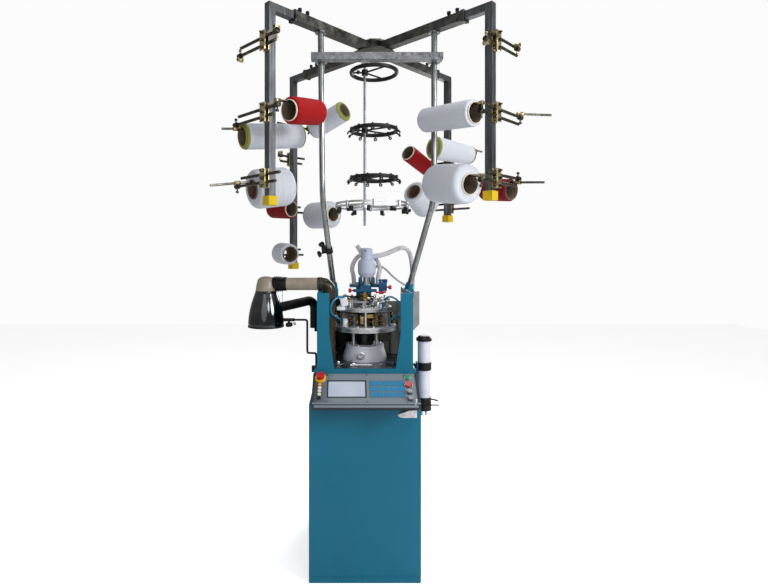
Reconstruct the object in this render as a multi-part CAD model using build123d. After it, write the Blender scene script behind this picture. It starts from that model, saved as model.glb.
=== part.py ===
from build123d import *
import math
import os

# Small-diameter circular knitting machine with a four-arm yarn creel. Millimetres, +Z up.
# The origin is the middle of the base's underside. -Y is the operator's side.

# ---- cabinet ----
cabinet_width = 456.0
cabinet_depth = 520.0
base_height = 28.0
cabinet_top = 725.0
sheet = 3.0
upper_width = 414.0
upper_depth = 500.0
bed_level = 870.0
bed_thickness = 10.0
anchor_spacing_x = 380.0
anchor_spacing_y = 456.0
anchor_radius = 7.0
door_gap = 0.6
door_pin_radius = 2.5
knuckle_radius = 5.0
running_gap = 0.06

# ---- console ----
console_width = 420.0
console_top = 851.0
console_lead = 10.0
slope_length = 155.0
slope_deg = 33.2
face_thickness = 3.0
button_gap = 0.5

# ---- knitting head ----
head_x = 6.0
head_y = -50.0
plate_thickness = 12.0
head_height = 307.0
cylinder_radius = 50.0
cylinder_bore = 34.0
sleeve_radius = 38.0
cylinder_top = 1110.0
needle_count = 48
cam_plate_level = 1000.0
cam_plate_height = 24.0
cam_plate_radius = 140.0
top_plate_level = 1087.0
top_plate_height = 16.0
top_plate_radius = 118.0
top_plate_bore = 62.0
pulley_radius = 70.0
motor_pulley_radius = 28.0
motor_shaft_radius = 8.0
belt_level = 803.0
belt_width = 24.0
belt_thickness = 5.0
motor_x = 112.0
motor_y = 132.0

# ---- guide rod and rings ----
rod_x = 0.0
rod_y = -235.0
rod_radius = 5.5
rod_bottom = 1452.0
ring_radius = 100.0
ring_section = 14.0
ring_offset = 38.0
ring_levels = [2080.0, 1843.0, 1646.0]
sensor_level = 1535.0
sensor_radius = 148.0

# ---- creel ----
creel_x = 54.0
creel_y = 35.0
arm_level = 2279.0
outer_tube = 38.0
outer_wall = 3.0
inner_tube = 30.0
inner_wall = 2.5
outer_start = 45.0
outer_end = 489.0
inner_start = 300.0
post_reach = 594.0
upright_radius = 12.5
crossbar_low = 2130.0
crossbar_high = 2158.0
crossbar_front = -255.0
crossbar_depth = 40.0
foot_cap_side = 43.0
foot_cap_height = 36.0

# ---- cone holders ----
holder_rod_radius = 6.0
peg_radius = 5.0
peg_shoulder = 22
holder_spacing = 30.0
holder_offset = 26.0
peg_clearance = 3.0
tube_bore = 37.0
tube_wall = 3.0
clamp_width = 34.0
clamp_height = 74.0
bolt_rise = 29.0

# ---- left and right side units ----
hood_x = -422.0
hood_y = -130.0
hood_low = 1022.0
hood_high = 1238.0
hood_radius = 76.5
exhaust_radius = 27.0
exhaust_level = 1206.0
duct_radius = 21.0
support_radius = 4.5
bottle_gap = 5.0
bottle_y = -120.0
bottle_radius = 27.0
bottle_low = 659.0
bottle_high = 982.0

half_width = cabinet_width / 2
bottle_x = half_width + bottle_gap + bottle_radius
half_depth = cabinet_depth / 2
upper_half = upper_width / 2
upper_front = -upper_depth / 2
bed_underside = bed_level - bed_thickness
head_top = bed_level + head_height
nodes = {}


def block(x0, x1, y0, y1, z0, z1):
    middle = Pos((x0 + x1) / 2, (y0 + y1) / 2, (z0 + z1) / 2)
    return middle * Box(abs(x1 - x0), abs(y1 - y0), abs(z1 - z0))


def bar(start, end, radius):
    start, end = Vector(*start), Vector(*end)
    along = end - start
    plane = Plane(origin=start, z_dir=along)
    return plane.location * Cylinder(radius, along.length, align=(Align.CENTER, Align.CENTER, Align.MIN))


def disc(x, y, z0, z1, radius, bore=0.0):
    solid = bar((x, y, z0), (x, y, z1), radius)
    if bore:
        solid = solid - bar((x, y, z0 - 1), (x, y, z1 + 1), bore)
    return solid


def turned(points, x=0.0, y=0.0):
    """A solid of revolution about the vertical through (x, y), from (radius, height) points."""
    outline = Plane.XZ * make_face(Polyline(*points, close=True))
    return Pos(x, y, 0) * revolve(outline, Axis.Z)


def bend_radii(points, share=0.45):
    """The largest tangent arcs that each corner's two runs allow."""
    radii = []
    for before, here, after in zip(points, points[1:], points[2:]):
        run_in = Vector(*here) - Vector(*before)
        run_out = Vector(*after) - Vector(*here)
        half_turn = math.radians(run_in.get_angle(run_out)) / 2
        radii.append(share * min(run_in.length, run_out.length) / math.tan(half_turn))
    return radii


def bent_bar(points, radius, corner=None):
    radii = [corner] * (len(points) - 2) if corner else bend_radii(points)
    path = FilletPolyline(*points, radius=radii)
    start = Plane(origin=path @ 0, z_dir=path % 0)
    return sweep(start * Circle(radius), path=path), path, radii


def hose(points, diameter, name):
    solid, path, radii = bent_bar(points, diameter / 2)
    wanted = math.pi * diameter**2 / 4 * path.length
    print(name, "length", round(path.length, 1), "tightest radius", round(min(radii), 1),
          "volume over section x length", round(solid.volume / wanted, 4))
    return solid


def group(*solids):
    """Separate solids that share one node."""
    flat = []
    for item in solids:
        flat += item.solids()
    return Compound(children=flat)


def around_head(radius, degrees, z=0.0):
    turn = math.radians(degrees)
    return (head_x + radius * math.cos(turn), head_y + radius * math.sin(turn), z)


# ---------------------------------------------------------------- cabinet
def make_base():
    plate = block(-half_width, half_width, -half_depth, half_depth, 0, base_height)
    plate = chamfer(plate.edges().filter_by(Axis.Z), 4)
    for x in (-anchor_spacing_x / 2, anchor_spacing_x / 2):
        for y in (-anchor_spacing_y / 2, anchor_spacing_y / 2):
            plate -= disc(x, y, -1, base_height + 1, anchor_radius)
    nodes["base_frame"] = plate


hinge_x = -half_width + knuckle_radius + 1.0
hinge_y = half_depth + 4.0
hinge_levels = [110.0, 600.0]
knuckle_length = 20.0


def make_cabinet():
    shell_depth = half_depth - sheet
    low = base_height
    shell = block(-half_width, half_width, -shell_depth, shell_depth, low, cabinet_top)
    shell -= block(-half_width + sheet, half_width - sheet, -half_depth, half_depth,
                   low + sheet, cabinet_top - sheet)
    upper = block(-upper_half, upper_half, upper_front, -upper_front, cabinet_top - sheet, bed_underside)
    upper -= block(-upper_half + sheet, upper_half - sheet, upper_front + sheet, -upper_front - sheet,
                   0, bed_level)
    shell -= block(-upper_half + sheet, upper_half - sheet, upper_front + sheet, -upper_front - sheet,
                   cabinet_top - 2 * sheet, bed_level)
    shell += upper
    for level in hinge_levels:
        lug = block(-half_width, hinge_x, shell_depth - 4, hinge_y, level, level + knuckle_length)
        shell += lug + disc(hinge_x, hinge_y, level, level + knuckle_length, knuckle_radius)
        shell += disc(hinge_x, hinge_y, level, level + 2 * knuckle_length, door_pin_radius)
    nodes["cabinet_shell"] = shell

    cover = block(-half_width, half_width, -half_depth, -shell_depth, low, cabinet_top)
    nodes["front_cover"] = chamfer(cover.faces().sort_by(Axis.Y)[0].edges(), 1.5)


def make_rear_door():
    inside = half_depth - sheet + door_gap
    outside = inside + sheet
    door = block(hinge_x - 2, half_width - 2, inside, outside, base_height + 12, cabinet_top - 10)
    for level in hinge_levels:
        door -= block(-half_width, hinge_x + knuckle_radius + 2, inside - 1, outside + 1,
                      level - 1, level + knuckle_length + 0.5)
        low = level + knuckle_length + 0.5
        door += disc(hinge_x, hinge_y, low, low + knuckle_length, knuckle_radius)
        door -= disc(hinge_x, hinge_y, low - 1, low + knuckle_length + 1, door_pin_radius + running_gap)
    handle = block(150, 190, outside, outside + 16, 380, 480)
    handle -= block(158, 182, outside - 1, outside + 8, 388, 472)
    door += handle
    for row in range(6):
        door -= block(-90, 90, inside - 1, outside + 1, 150 + 16 * row, 156 + 16 * row)
    nodes["rear_door"] = door


# ---------------------------------------------------------------- console
console_back = upper_front
slope_start_y = upper_front - console_lead
slope_turn = math.radians(slope_deg)
panel = Plane(origin=(0, slope_start_y, console_top), x_dir=(1, 0, 0),
              z_dir=(0, -math.sin(slope_turn), math.cos(slope_turn)))
front_y = slope_start_y - slope_length * math.cos(slope_turn)
front_z = console_top - slope_length * math.sin(slope_turn)


def on_panel(x, down, height=0.0):
    return panel.location * Pos(x, -down, height)


def panel_box(x0, x1, down0, down1, low, high):
    place = on_panel((x0 + x1) / 2, (down0 + down1) / 2, (low + high) / 2)
    return place * Box(x1 - x0, down1 - down0, high - low)


def panel_disc(x, down, low, high, radius):
    base = (Align.CENTER, Align.CENTER, Align.MIN)
    return on_panel(x, down, low) * Cylinder(radius, high - low, align=base)


display = (-146.0, -1.0, 42.0, 120.0)
key_columns = [30.0, 57.0, 84.0, 111.0, 138.0]
key_rows = [54.0, 82.0, 110.0]
key_side = 20.0
estop_place = (-179.0, 27.0)
lamp_places = [(-181.0, 60.0 + 16.5 * n) for n in range(5)]
start_place = (171.0, 26.0)
stop_place = (171.0, 63.0)
mode_place = (171.0, 103.0)
speed_place = (171.0, 134.0)
stem_radius = 7.0
shaft_radius = 4.0


def make_console():
    wide = console_width / 2
    outline = [(console_back, console_top), (slope_start_y, console_top), (front_y, front_z),
               (front_y, front_z - 20), (front_y + 12, front_z - 28), (console_back, cabinet_top + 2)]
    profile = Plane.YZ * make_face(Polyline(*outline, close=True))
    body = Pos(-wide, 0, 0) * extrude(profile, amount=console_width)
    top_cut = panel_box(-wide - 1, wide + 1, -20, slope_length + 20, -face_thickness, 60)
    body -= top_cut
    inside = [(console_back - sheet, console_top + 20), (console_back - sheet, cabinet_top + 6),
              (front_y + 14, front_z - 24), (front_y + sheet, front_z - 18), (front_y + sheet, front_z + 20)]
    hollow = Plane.YZ * make_face(Polyline(*inside, close=True))
    body -= Pos(-wide + sheet, 0, 0) * extrude(hollow, amount=console_width - 2 * sheet)
    nodes["console_housing"] = body

    face = panel_box(-wide, wide, 0, slope_length, -face_thickness, 0)
    face = face & block(-wide, wide, front_y, console_back, front_z - 40, console_top)
    face -= panel_box(display[0], display[1], display[2], display[3], -10, 10)
    face -= panel_box(key_columns[0] - 13, key_columns[-1] + 13, key_rows[0] - 13, key_rows[-1] + 13, -10, 10)
    for place, radius in ((estop_place, stem_radius), (start_place, stem_radius), (stop_place, stem_radius),
                          (mode_place, shaft_radius), (speed_place, shaft_radius)):
        face -= panel_disc(*place, -10, 10, radius + button_gap)
    nodes["console_face"] = face

    screen = panel_box(*display, -8, -1)
    nodes["display_screen"] = screen
    pad = panel_box(key_columns[0] - 13, key_columns[-1] + 13, key_rows[0] - 13, key_rows[-1] + 13, -6, 0.2)
    keys = []
    for x in key_columns:
        for down in key_rows:
            half = key_side / 2
            keys.append(panel_box(x - half, x + half, down - half, down + half, 0.2, 1.4))
    nodes["keypad"] = pad + keys

    stem_hole = stem_radius + button_gap
    collars = [panel_disc(*estop_place, 0, 4, 22.5) - panel_disc(*estop_place, -1, 5, stem_hole)]
    for place, radius in ((start_place, 14.0), (stop_place, 16.5)):
        collars.append(panel_disc(*place, 0, 3, radius) - panel_disc(*place, -1, 4, radius - 2.5))
    for place in lamp_places:
        lamp = panel_disc(*place, 0, 5, 7.5)
        collars.append(fillet(lamp.edges().sort_by(Axis.Z)[-1], 2.0))
    nodes["button_collars"] = group(*collars)

    estop = panel_disc(*estop_place, -12, 12, stem_radius) + panel_disc(*estop_place, 10, 22, 16)
    nodes["estop_button"] = estop
    start_stem = panel_disc(*start_place, -12, 4.4, stem_radius)
    nodes["start_button"] = start_stem + panel_disc(*start_place, 4.4, 9, 11)
    stop_stem = panel_disc(*stop_place, -12, 4.4, stem_radius)
    nodes["stop_button"] = stop_stem + panel_disc(*stop_place, 4.4, 10, 13.5)
    for name, place in (("mode_knob", mode_place), ("speed_knob", speed_place)):
        knob = panel_disc(*place, -10, 2, shaft_radius) + panel_disc(*place, 1, 15, 10)
        knob -= panel_box(place[0] - 1, place[0] + 1, place[1] - 12, place[1] - 3, 14, 16)
        nodes[name] = knob


# ---------------------------------------------------------------- head frame
def make_head_frame():
    sill_top = bed_level
    outline = [(-205, console_top), (205, console_top), (205, sill_top), (195, sill_top), (195, head_top),
               (145, head_top), (145, 1011), (125, sill_top), (-125, sill_top), (-145, 1011),
               (-145, head_top), (-195, head_top), (-195, sill_top), (-205, sill_top)]
    face = Plane.XZ * make_face(Polyline(*outline, close=True))
    plate = Pos(0, upper_front, 0) * extrude(face, amount=plate_thickness)
    nodes["head_front_plate"] = plate

    bed = block(-205, 205, upper_front, -upper_front, bed_underside, bed_level)
    bed -= disc(head_x, head_y, bed_underside - 1, bed_level + 1, sleeve_radius + 4)
    for x in (-150, 150):
        for y in (40, 200):
            bed -= disc(x, y, bed_underside - 1, bed_level + 1, 4.5)
    nodes["bed_plate"] = bed


upright_feet = {"left": (-133.0, -20.0), "right": (205.0, -20.0)}
upright_bends = {"left": (-175.0, -190.0), "right": (292.0, -190.0)}
upright_tops = {"left": (-183.0, -202.0), "right": (291.0, -202.0)}
upright_bend_level = 1565.0
upright_foot_level = 1152.0
socket_level = 1177.0


def upright_points(side):
    foot = Vector(*upright_feet[side], socket_level)
    bend = Vector(*upright_bends[side], upright_bend_level)
    share = (socket_level - upright_foot_level) / (upright_bend_level - socket_level)
    low = foot - (bend - foot) * share
    top = Vector(*upright_tops[side], arm_level - outer_tube / 2 - 4)
    return [tuple(low), tuple(bend), tuple(top)]


def make_side_plates():
    outer, inner = 195.0, 183.0
    parts = []
    for side, sign in (("left", -1), ("right", 1)):
        plate = block(sign * inner, sign * outer, upper_front, 110, bed_level, head_top)
        plate -= block(sign * (inner - 1), sign * (outer + 1), -180, -75, 940, 1060)
        x, y = upright_feet[side]
        if side == "left":
            bracket = block(-inner, x + 20, y - 19, y + 22, 1138, head_top)
        else:
            bracket = block(outer, x + 21, y - 19, y + 22, 1138, head_top)
        low, bend, top = upright_points(side)
        lean = (Vector(*bend) - Vector(*low)).normalized()
        foot = Vector(x, y, socket_level)
        collar = bar(tuple(foot - lean * 10), tuple(foot + lean * 26), 18)
        plate = plate + bracket + collar
        plate -= bar(low, tuple(foot + lean * 60), upright_radius + 0.15)
        parts.append(plate)
    nodes["head_side_plates"] = group(*parts)


# ---------------------------------------------------------------- knitting head
selector_angles = [200, 240, 300, 340, 20, 160]
post_angles = [180, 270, 0, 90]
finger_angle = 252.0
finger_pin_reach = 100.0
finger_gap = 8.0
finger_pin_level = 1128.0


def make_head():
    low = bed_level
    housing = turned([(sleeve_radius + 0.5, low), (97, low), (97, low + 14), (85, low + 50), (85, low + 64),
                      (sleeve_radius + 0.5, low + 64)], head_x, head_y)
    port = bar((head_x - 20, head_y - 100, low + 30), (head_x - 20, head_y - 70, low + 30), 13)
    port -= bar((head_x - 20, head_y - 101, low + 30), (head_x - 20, head_y - 84, low + 30), 9)
    nodes["base_housing"] = housing + port

    top = cam_plate_level + cam_plate_height
    plate = disc(head_x, head_y, cam_plate_level, top, cam_plate_radius, cylinder_radius + 2)
    plate = chamfer(plate.edges().filter_by(GeomType.CIRCLE).sort_by(SortBy.RADIUS)[-2:], 2)
    pillars = [disc(*around_head(72, angle)[:2], low + 64, cam_plate_level, 6)
               for angle in (45, 135, 225, 315)]
    posts = [disc(*around_head(106, angle)[:2], top, top_plate_level, 5) for angle in post_angles]
    nodes["cam_plate"] = group(plate, *pillars, *posts)

    ring = disc(head_x, head_y, top, top_plate_level - 4, 76, cylinder_radius + 2)
    for start in range(0, 360, 60):
        wedge = Pos(head_x, head_y, top) * Rot(0, 0, start) * Pos(0, 0, 30)
        cutter = wedge * (Pos(60, 0, 0) * Box(120, 3, 90))
        ring -= cutter
    cams = ring.solids()
    nodes["cam_sections"] = group(*cams)

    selectors = []
    for angle in selector_angles:
        place = Pos(*around_head(0, 0)[:2], top) * Rot(0, 0, angle)
        unit = place * (Pos(94, 0, 26) * Box(30, 22, 52))
        for step in range(4):
            unit += place * (Pos(112, 0, 9 + 11 * step) * Box(10, 12, 4))
        selectors.append(unit)
    nodes["needle_selectors"] = group(*selectors)

    plate_top = top_plate_level + top_plate_height
    plate = disc(head_x, head_y, top_plate_level, plate_top, top_plate_radius, top_plate_bore)
    place = Pos(head_x, head_y, 0) * Rot(0, 0, finger_angle)
    pin = Pos(finger_pin_reach, 0, finger_pin_level) * Rot(90, 0, 0) * Cylinder(3 + running_gap, 60)
    for y in (-25, 25):
        plate += place * Pos(finger_pin_reach, y, (plate_top + finger_pin_level + 6) / 2) * Box(
            14, 6, finger_pin_level + 6 - plate_top)
    plate -= place * pin
    nodes["top_plate"] = plate

    finger = place * Pos(finger_pin_reach, 0, finger_pin_level) * Rot(90, 0, 0) * Cylinder(3, 58)
    for y in (-15, -9, -3, 3, 9, 15):
        tip = cylinder_radius + finger_gap
        arm = Plane.XZ * make_face(Polyline((107, 1133), (98, 1136), (tip + 8, 1126), (tip, 1115), (tip + 4, 1113),
                                            (tip + 12, 1119), (100, 1122), (107, 1126), close=True))
        finger += place * (Pos(0, y + 1.25, 0) * extrude(arm, amount=2.5))
    finger += place * (Pos(108, 0, 1131) * Box(9, 36, 9))
    nodes["yarn_fingers"] = finger


def make_cylinder():
    low = belt_level - 3
    body = turned([(cylinder_bore, low), (sleeve_radius, low), (sleeve_radius, cam_plate_level + 2),
                   (cylinder_radius, cam_plate_level + cam_plate_height + 2), (cylinder_radius, cylinder_top),
                   (cylinder_bore, cylinder_top)], head_x, head_y)
    needle = bar((head_x + cylinder_radius - 1.0, head_y, cylinder_top - 3),
                 (head_x + cylinder_radius - 1.0, head_y, cylinder_top + 7), 0.8)
    for n in range(needle_count):
        spin = Pos(head_x, head_y, 0) * Rot(0, 0, 360 / needle_count * n) * Pos(-head_x, -head_y, 0)
        body += spin * needle
    nodes["needle_cylinder"] = body

    pulley = disc(head_x, head_y, belt_level, belt_level + belt_width, pulley_radius, sleeve_radius)
    pulley += disc(head_x, head_y, belt_level - 3, belt_level, pulley_radius + 4, sleeve_radius)
    pulley += disc(head_x, head_y, belt_level + belt_width, belt_level + belt_width + 3, pulley_radius + 4,
                   sleeve_radius)
    nodes["drive_pulley"] = pulley

    dial = disc(head_x, head_y, cylinder_top + 9, cylinder_top + 19, cylinder_radius - 3)
    dial += disc(head_x, head_y, cylinder_top + 18, 1170, 8)
    nodes["dial"] = chamfer(dial.edges().filter_by(GeomType.CIRCLE).sort_by(SortBy.RADIUS)[-1], 2)


bracket_low = 1174.0
bracket_high = 1198.0
cap_x = 15.0

# Routes chosen by hand: each point is on the hose's centre line.
suction_route = [(62, -50, 1326), (96, -48, 1332), (136, -38, 1350), (178, -14, 1366), (211, 18, 1352),
                 (227, 46, 1306), (233, 62, 1250), (234, 69, 1202), (234, 69, 1163.3)]
loop_route = [(-42, -18, 1198.3), (-42, -18, 1230), (-54, -2, 1270), (-32, 16, 1318), (12, 22, 1340),
              (58, 16, 1318), (80, -2, 1270), (66, -18, 1230), (66, -18, 1198.3)]
left_air_route = [(-70, -118, 1103.3), (-70, -118, 1132), (-96, -142, 1156), (-130, -166, 1142),
                  (-146, -176, 1108), (-136, -166, 1076), (-112, -140, 1062), (-98, -126, 1048),
                  (-98, -126, 1024.3)]
suction_diameter = 21.0
loop_diameter = 20.0
air_diameter = 8.0


def make_bracket():
    column = block(head_x - 36, head_x + 36, 92, 128, bed_level, bracket_high)
    arm = block(head_x - 22, head_x + 26, -92, 93, bracket_low, bracket_high)
    arm += block(-62, 88, -62, 22, bracket_high - 12, bracket_high)
    bracket = column + arm
    bracket = chamfer(bracket.edges().filter_by(Axis.Z), 3)
    nodes["dial_bracket"] = bracket

    profile = [(0, bracket_high), (17, bracket_high), (17, 1230), (30, 1232), (38, 1246), (40, 1253),
               (40, 1294), (36, 1305), (27, 1312), (26, 1318), (26, 1356), (22, 1361), (0, 1361)]
    cap = turned(profile, cap_x, head_y)
    hose_start, hose_next = Vector(*suction_route[0]), Vector(*suction_route[1])
    leave = (hose_next - hose_start).normalized()
    cap += bar(tuple(hose_start - leave * 32), tuple(hose_start - leave * 0.2), suction_diameter / 2 + 1)
    stub = bar((cap_x - 12, head_y + 4, 1318), (cap_x - 42, head_y + 12, 1372), 10)
    stub -= bar((cap_x - 28, head_y + 8, 1346), (cap_x - 44, head_y + 12.6, 1375), 7.5)
    nodes["suction_cap"] = cap + stub


def make_drive():
    shaft_gap = running_gap
    motor_top = 782.0
    shelf = block(36, upper_half - sheet, 56, -upper_front - sheet, motor_top, motor_top + 8)
    shelf -= disc(motor_x, motor_y, motor_top - 1, motor_top + 9, motor_shaft_radius + 3)
    shelf -= disc(head_x, head_y, motor_top - 1, motor_top + 9, pulley_radius + 12)
    motor = disc(motor_x, motor_y, 590, motor_top, 62) + disc(motor_x, motor_y, 560, 590, 46)
    motor -= disc(motor_x, motor_y, 700, motor_top + 1, motor_shaft_radius + shaft_gap)
    box = block(motor_x - 30, motor_x + 30, motor_y + 50, motor_y + 86, 650, 730)
    nodes["drive_motor"] = group(motor + box, shelf)

    pulley = disc(motor_x, motor_y, belt_level, belt_level + belt_width, motor_pulley_radius)
    pulley += disc(motor_x, motor_y, belt_level - 3, belt_level, motor_pulley_radius + 4)
    belt_top = belt_level + belt_width
    pulley += disc(motor_x, motor_y, belt_top, belt_top + 3, motor_pulley_radius + 4)
    pulley += disc(motor_x, motor_y, 704, belt_level, motor_shaft_radius)
    nodes["motor_pulley"] = pulley

    nodes["drive_belt"] = belt_band(0.3 + belt_thickness) - belt_band(0.3)


def belt_band(grow):
    """The space inside a belt path that stands off both pulleys by grow."""
    dx, dy = motor_x - head_x, motor_y - head_y
    span = math.hypot(dx, dy)
    heading = math.degrees(math.atan2(dy, dx))
    big, small = pulley_radius + grow, motor_pulley_radius + grow
    tilt = math.asin((big - small) / span)
    low, high = belt_level + 1, belt_level + belt_width - 1
    band = disc(0, 0, low, high, big) + disc(span, 0, low, high, small)
    corners = [(big * math.sin(tilt), big * math.cos(tilt)),
               (span + small * math.sin(tilt), small * math.cos(tilt)),
               (span + small * math.sin(tilt), -small * math.cos(tilt)),
               (big * math.sin(tilt), -big * math.cos(tilt))]
    strip = Pos(0, 0, low) * extrude(make_face(Polyline(*corners, close=True)), amount=high - low)
    return Pos(head_x, head_y, 0) * Rot(0, 0, heading) * (band + strip)


def make_hoses():
    nodes["suction_hose"] = hose(suction_route, suction_diameter, "suction_hose")
    nodes["loop_hose"] = hose(loop_route, loop_diameter, "loop_hose")
    right_air_route = [(2 * head_x - x, y, z) for x, y, z in left_air_route]
    left = hose(left_air_route, air_diameter, "left air tube")
    right = hose(right_air_route, air_diameter, "right air tube")
    nodes["air_tubes"] = group(left, right)


# ---------------------------------------------------------------- side units
# The bell's outside: (radius, height above its mouth).
hood_outline = [(hood_radius, 0.0), (75.0, 30.0), (66.0, 90.0), (51.0, 150.0), (39.0, 190.0),
                (34.0, hood_high - hood_low)]


def hood_body(clearance):
    """The bell filled solid, with a clearance all round, for cutting what meets it."""
    top = hood_outline[-1]
    points = [(0, hood_low - 5)] + [(hood_radius + clearance, hood_low - 5)]
    points += [(radius + clearance, hood_low + up) for radius, up in hood_outline]
    return turned(points + [(0, hood_low + top[1])], hood_x, hood_y)


def make_left_side():
    t = 2.0
    profile = [(radius, hood_low + up) for radius, up in hood_outline]
    profile += [(radius - t, hood_low + up) for radius, up in reversed(hood_outline)]
    hood = turned(profile, hood_x, hood_y)
    side_hole = (hood_x + 30, hood_y, exhaust_level), (hood_x + 80, hood_y, exhaust_level)
    hood -= bar(*side_hole, exhaust_radius + 0.2)
    hood += disc(hood_x, hood_y, hood_high, hood_high + 3, hood_outline[-1][0])
    nodes["sock_hood"] = hood

    x0, x1 = hood_x + 33.0, -150.0
    path = [(x0, hood_y, exhaust_level), (x1, hood_y, exhaust_level), (x1, hood_y, bed_level)]
    outer, _, _ = bent_bar(path, exhaust_radius, corner=30)
    inner, _, _ = bent_bar(path, exhaust_radius - 2, corner=30)
    tube = outer - inner
    for n in range(5):
        x = hood_x + 56 + 7 * n
        tube += bar((x, hood_y, exhaust_level), (x + 4, hood_y, exhaust_level), exhaust_radius + 3) - bar(
            (x - 1, hood_y, exhaust_level), (x + 5, hood_y, exhaust_level), exhaust_radius - 2)
    nodes["exhaust_tube"] = tube

    flank = hood_x + 40.0
    duct_y = hood_y + 8
    duct_x, duct_back = -225, 56
    route = [(flank, duct_y, 1100), (duct_x, duct_back, 1121), (duct_x, duct_back, 990)]
    duct, _, _ = bent_bar(route, duct_radius, corner=40)
    duct += block(duct_x, -195, duct_back - 16, duct_back + 16, 974, 1006)
    duct -= hood_body(0.2)
    nodes["air_duct"] = duct

    y = hood_y - 20
    x_foot = -upper_half - 8
    path = [(x_foot, y, 838), (x_foot, y, 898), (-243, y, 912), (-243, y, 1052), (-341, y, 1052)]
    rod, _, _ = bent_bar(path, support_radius, corner=9)
    foot = block(-upper_half - 16, -upper_half, y - 12, y + 12, 832, 858)
    foot -= bar((x_foot, y, 830), (x_foot, y, 860), support_radius + 0.02)
    knob = block(-316, -288, y - 14, y + 14, 1040, 1064)
    knob -= bar((-320, y, 1052), (-280, y, 1052), support_radius + 0.02)
    band = disc(hood_x, hood_y, 1040, 1064, hood_radius + 6)
    band -= hood_body(0.2)
    band -= bar((-335, y, 1052), (-360, y, 1052), support_radius + 0.02)
    rod -= disc(hood_x, hood_y, 1000, 1100, hood_radius + 1)
    nodes["hood_support"] = group(rod, foot, knob, band)


def make_right_side():
    x0, x1, y0, y1 = 195.0, 258.0, 6.0, 180.0
    outline = [(x0, 975), (x0 + 26, 975), (x1, 1012), (x1, 1163), (x0, 1163)]
    solid = Plane.XZ * make_face(Polyline(*outline, close=True))
    box = Pos(0, y1, 0) * extrude(solid, amount=y1 - y0)
    box = box - block(x0 + 3, x1 - 3, y0 + 3, y1 - 3, 1015, 1160)
    nodes["valve_box"] = box

    low, high = bottle_low, bottle_high
    bottle = turned([(0, low), (16, low), (bottle_radius, low + 16), (bottle_radius, high - 22), (0, high - 22)],
                    bottle_x, bottle_y)
    cap = turned([(0, high - 21.9), (bottle_radius + 6, high - 21.9), (bottle_radius + 6, high - 12),
                  (bottle_radius - 6, high), (0, high)], bottle_x, bottle_y)
    solids = [bottle, cap]
    for z, wall in ((696, half_width), (840, upper_half)):
        strap = disc(bottle_x, bottle_y, z, z + 22, bottle_radius + 2.5)
        strap += block(wall, bottle_x, bottle_y - 9, bottle_y + 9, z, z + 22)
        solids.append(strap - disc(bottle_x, bottle_y, z - 1, z + 23, bottle_radius + 0.1))
    lever = bar((bottle_x + bottle_radius + 1.5, bottle_y, 707), (bottle_x + bottle_radius + 34, bottle_y, 700), 3.5)
    solids[2] += lever
    for x in (-9, 9):
        solids[0] += disc(bottle_x + x, bottle_y, low - 22, low + 1, 4.5)
    nodes["oil_reservoir"] = group(*solids)


# ---------------------------------------------------------------- creel frame
def make_uprights():
    parts = []
    for side in ("left", "right"):
        points = upright_points(side)
        tube, _, _ = bent_bar(points, upright_radius, corner=260)
        x, y = upright_tops[side]
        top = arm_level - outer_tube / 2
        parts.append(tube + disc(x, y, top - 5, top, 24))
    nodes["creel_uprights"] = group(*parts)


def upright_at(side, z):
    """The upright's centre at a height above its bend."""
    x0, y0 = upright_bends[side]
    x1, y1 = upright_tops[side]
    share = (z - upright_bend_level) / (arm_level - outer_tube / 2 - 4 - upright_bend_level)
    return x0 + (x1 - x0) * share, y0 + (y1 - y0) * share


def make_crossbar():
    back = crossbar_front + crossbar_depth
    bar_solid = block(-220, 319, crossbar_front, back, crossbar_low, crossbar_high)
    bar_solid -= block(-221, 320, crossbar_front + 4, back - 4, crossbar_low + 4, crossbar_high - 4)
    parts = []
    for side in ("left", "right"):
        x, y = upright_at(side, (crossbar_low + crossbar_high) / 2)
        saddle = block(x - 24, x + 24, back, y + 20, crossbar_low + 4, crossbar_high - 4)
        tube, _, _ = bent_bar(upright_points(side), upright_radius + 0.15, corner=260)
        bar_solid -= tube
        for px in (x - 19, x + 19):
            for pz in (crossbar_low + 11, crossbar_high - 11):
                saddle += bar((px, crossbar_front - 6, pz), (px, back + 1, pz), 3.5)
                saddle += bar((px, crossbar_front - 6, pz), (px, crossbar_front, pz), 7)
                bar_solid -= bar((px, crossbar_front - 1, pz), (px, back + 1, pz), 3.5)
        parts.append(saddle - tube)
    nodes["crossbar"] = group(bar_solid, *parts)

    rod = disc(rod_x, rod_y, rod_bottom, crossbar_low, rod_radius)
    clamp = block(rod_x - 14, rod_x + 14, rod_y - 14, rod_y + 14, crossbar_low - 18, crossbar_low)
    nodes["guide_rod"] = rod + clamp


def creel_place(arm_heading):
    return Pos(creel_x, creel_y, 0) * Rot(0, 0, arm_heading)


arm_headings = {"fl": 225.0, "fr": 315.0, "br": 45.0, "bl": 135.0}
screw_reaches = [407.0, 447.0]


def make_spider():
    half = outer_tube / 2
    low, high = arm_level - half, arm_level + half
    lower = turned([(0, low - 14), (60, low - 8), (95, low - 5), (95, low), (0, low)], creel_x, creel_y)
    upper = disc(creel_x, creel_y, high, high + 8, 65) + disc(creel_x, creel_y, high + 8, high + 18, 12)
    solids = [lower, upper]
    for heading in arm_headings.values():
        inside = half - outer_wall
        tube = block(outer_start, outer_end, -half, half, low, high)
        tube -= block(outer_start - 1, outer_end + 1, -inside, inside, low + outer_wall, high - outer_wall)
        solids.append(creel_place(heading) * tube)
        for reach in screw_reaches:
            screw = disc(reach, 0, high, high + 12, 4) + disc(reach, 0, high + 12, high + 24, 8)
            solids.append(creel_place(heading) * screw)
    nodes["creel_spider"] = group(*solids)


foot_levels = {"fl": 1558.0, "fr": 1577.0, "br": 1540.0, "bl": 1285.0}


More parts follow.
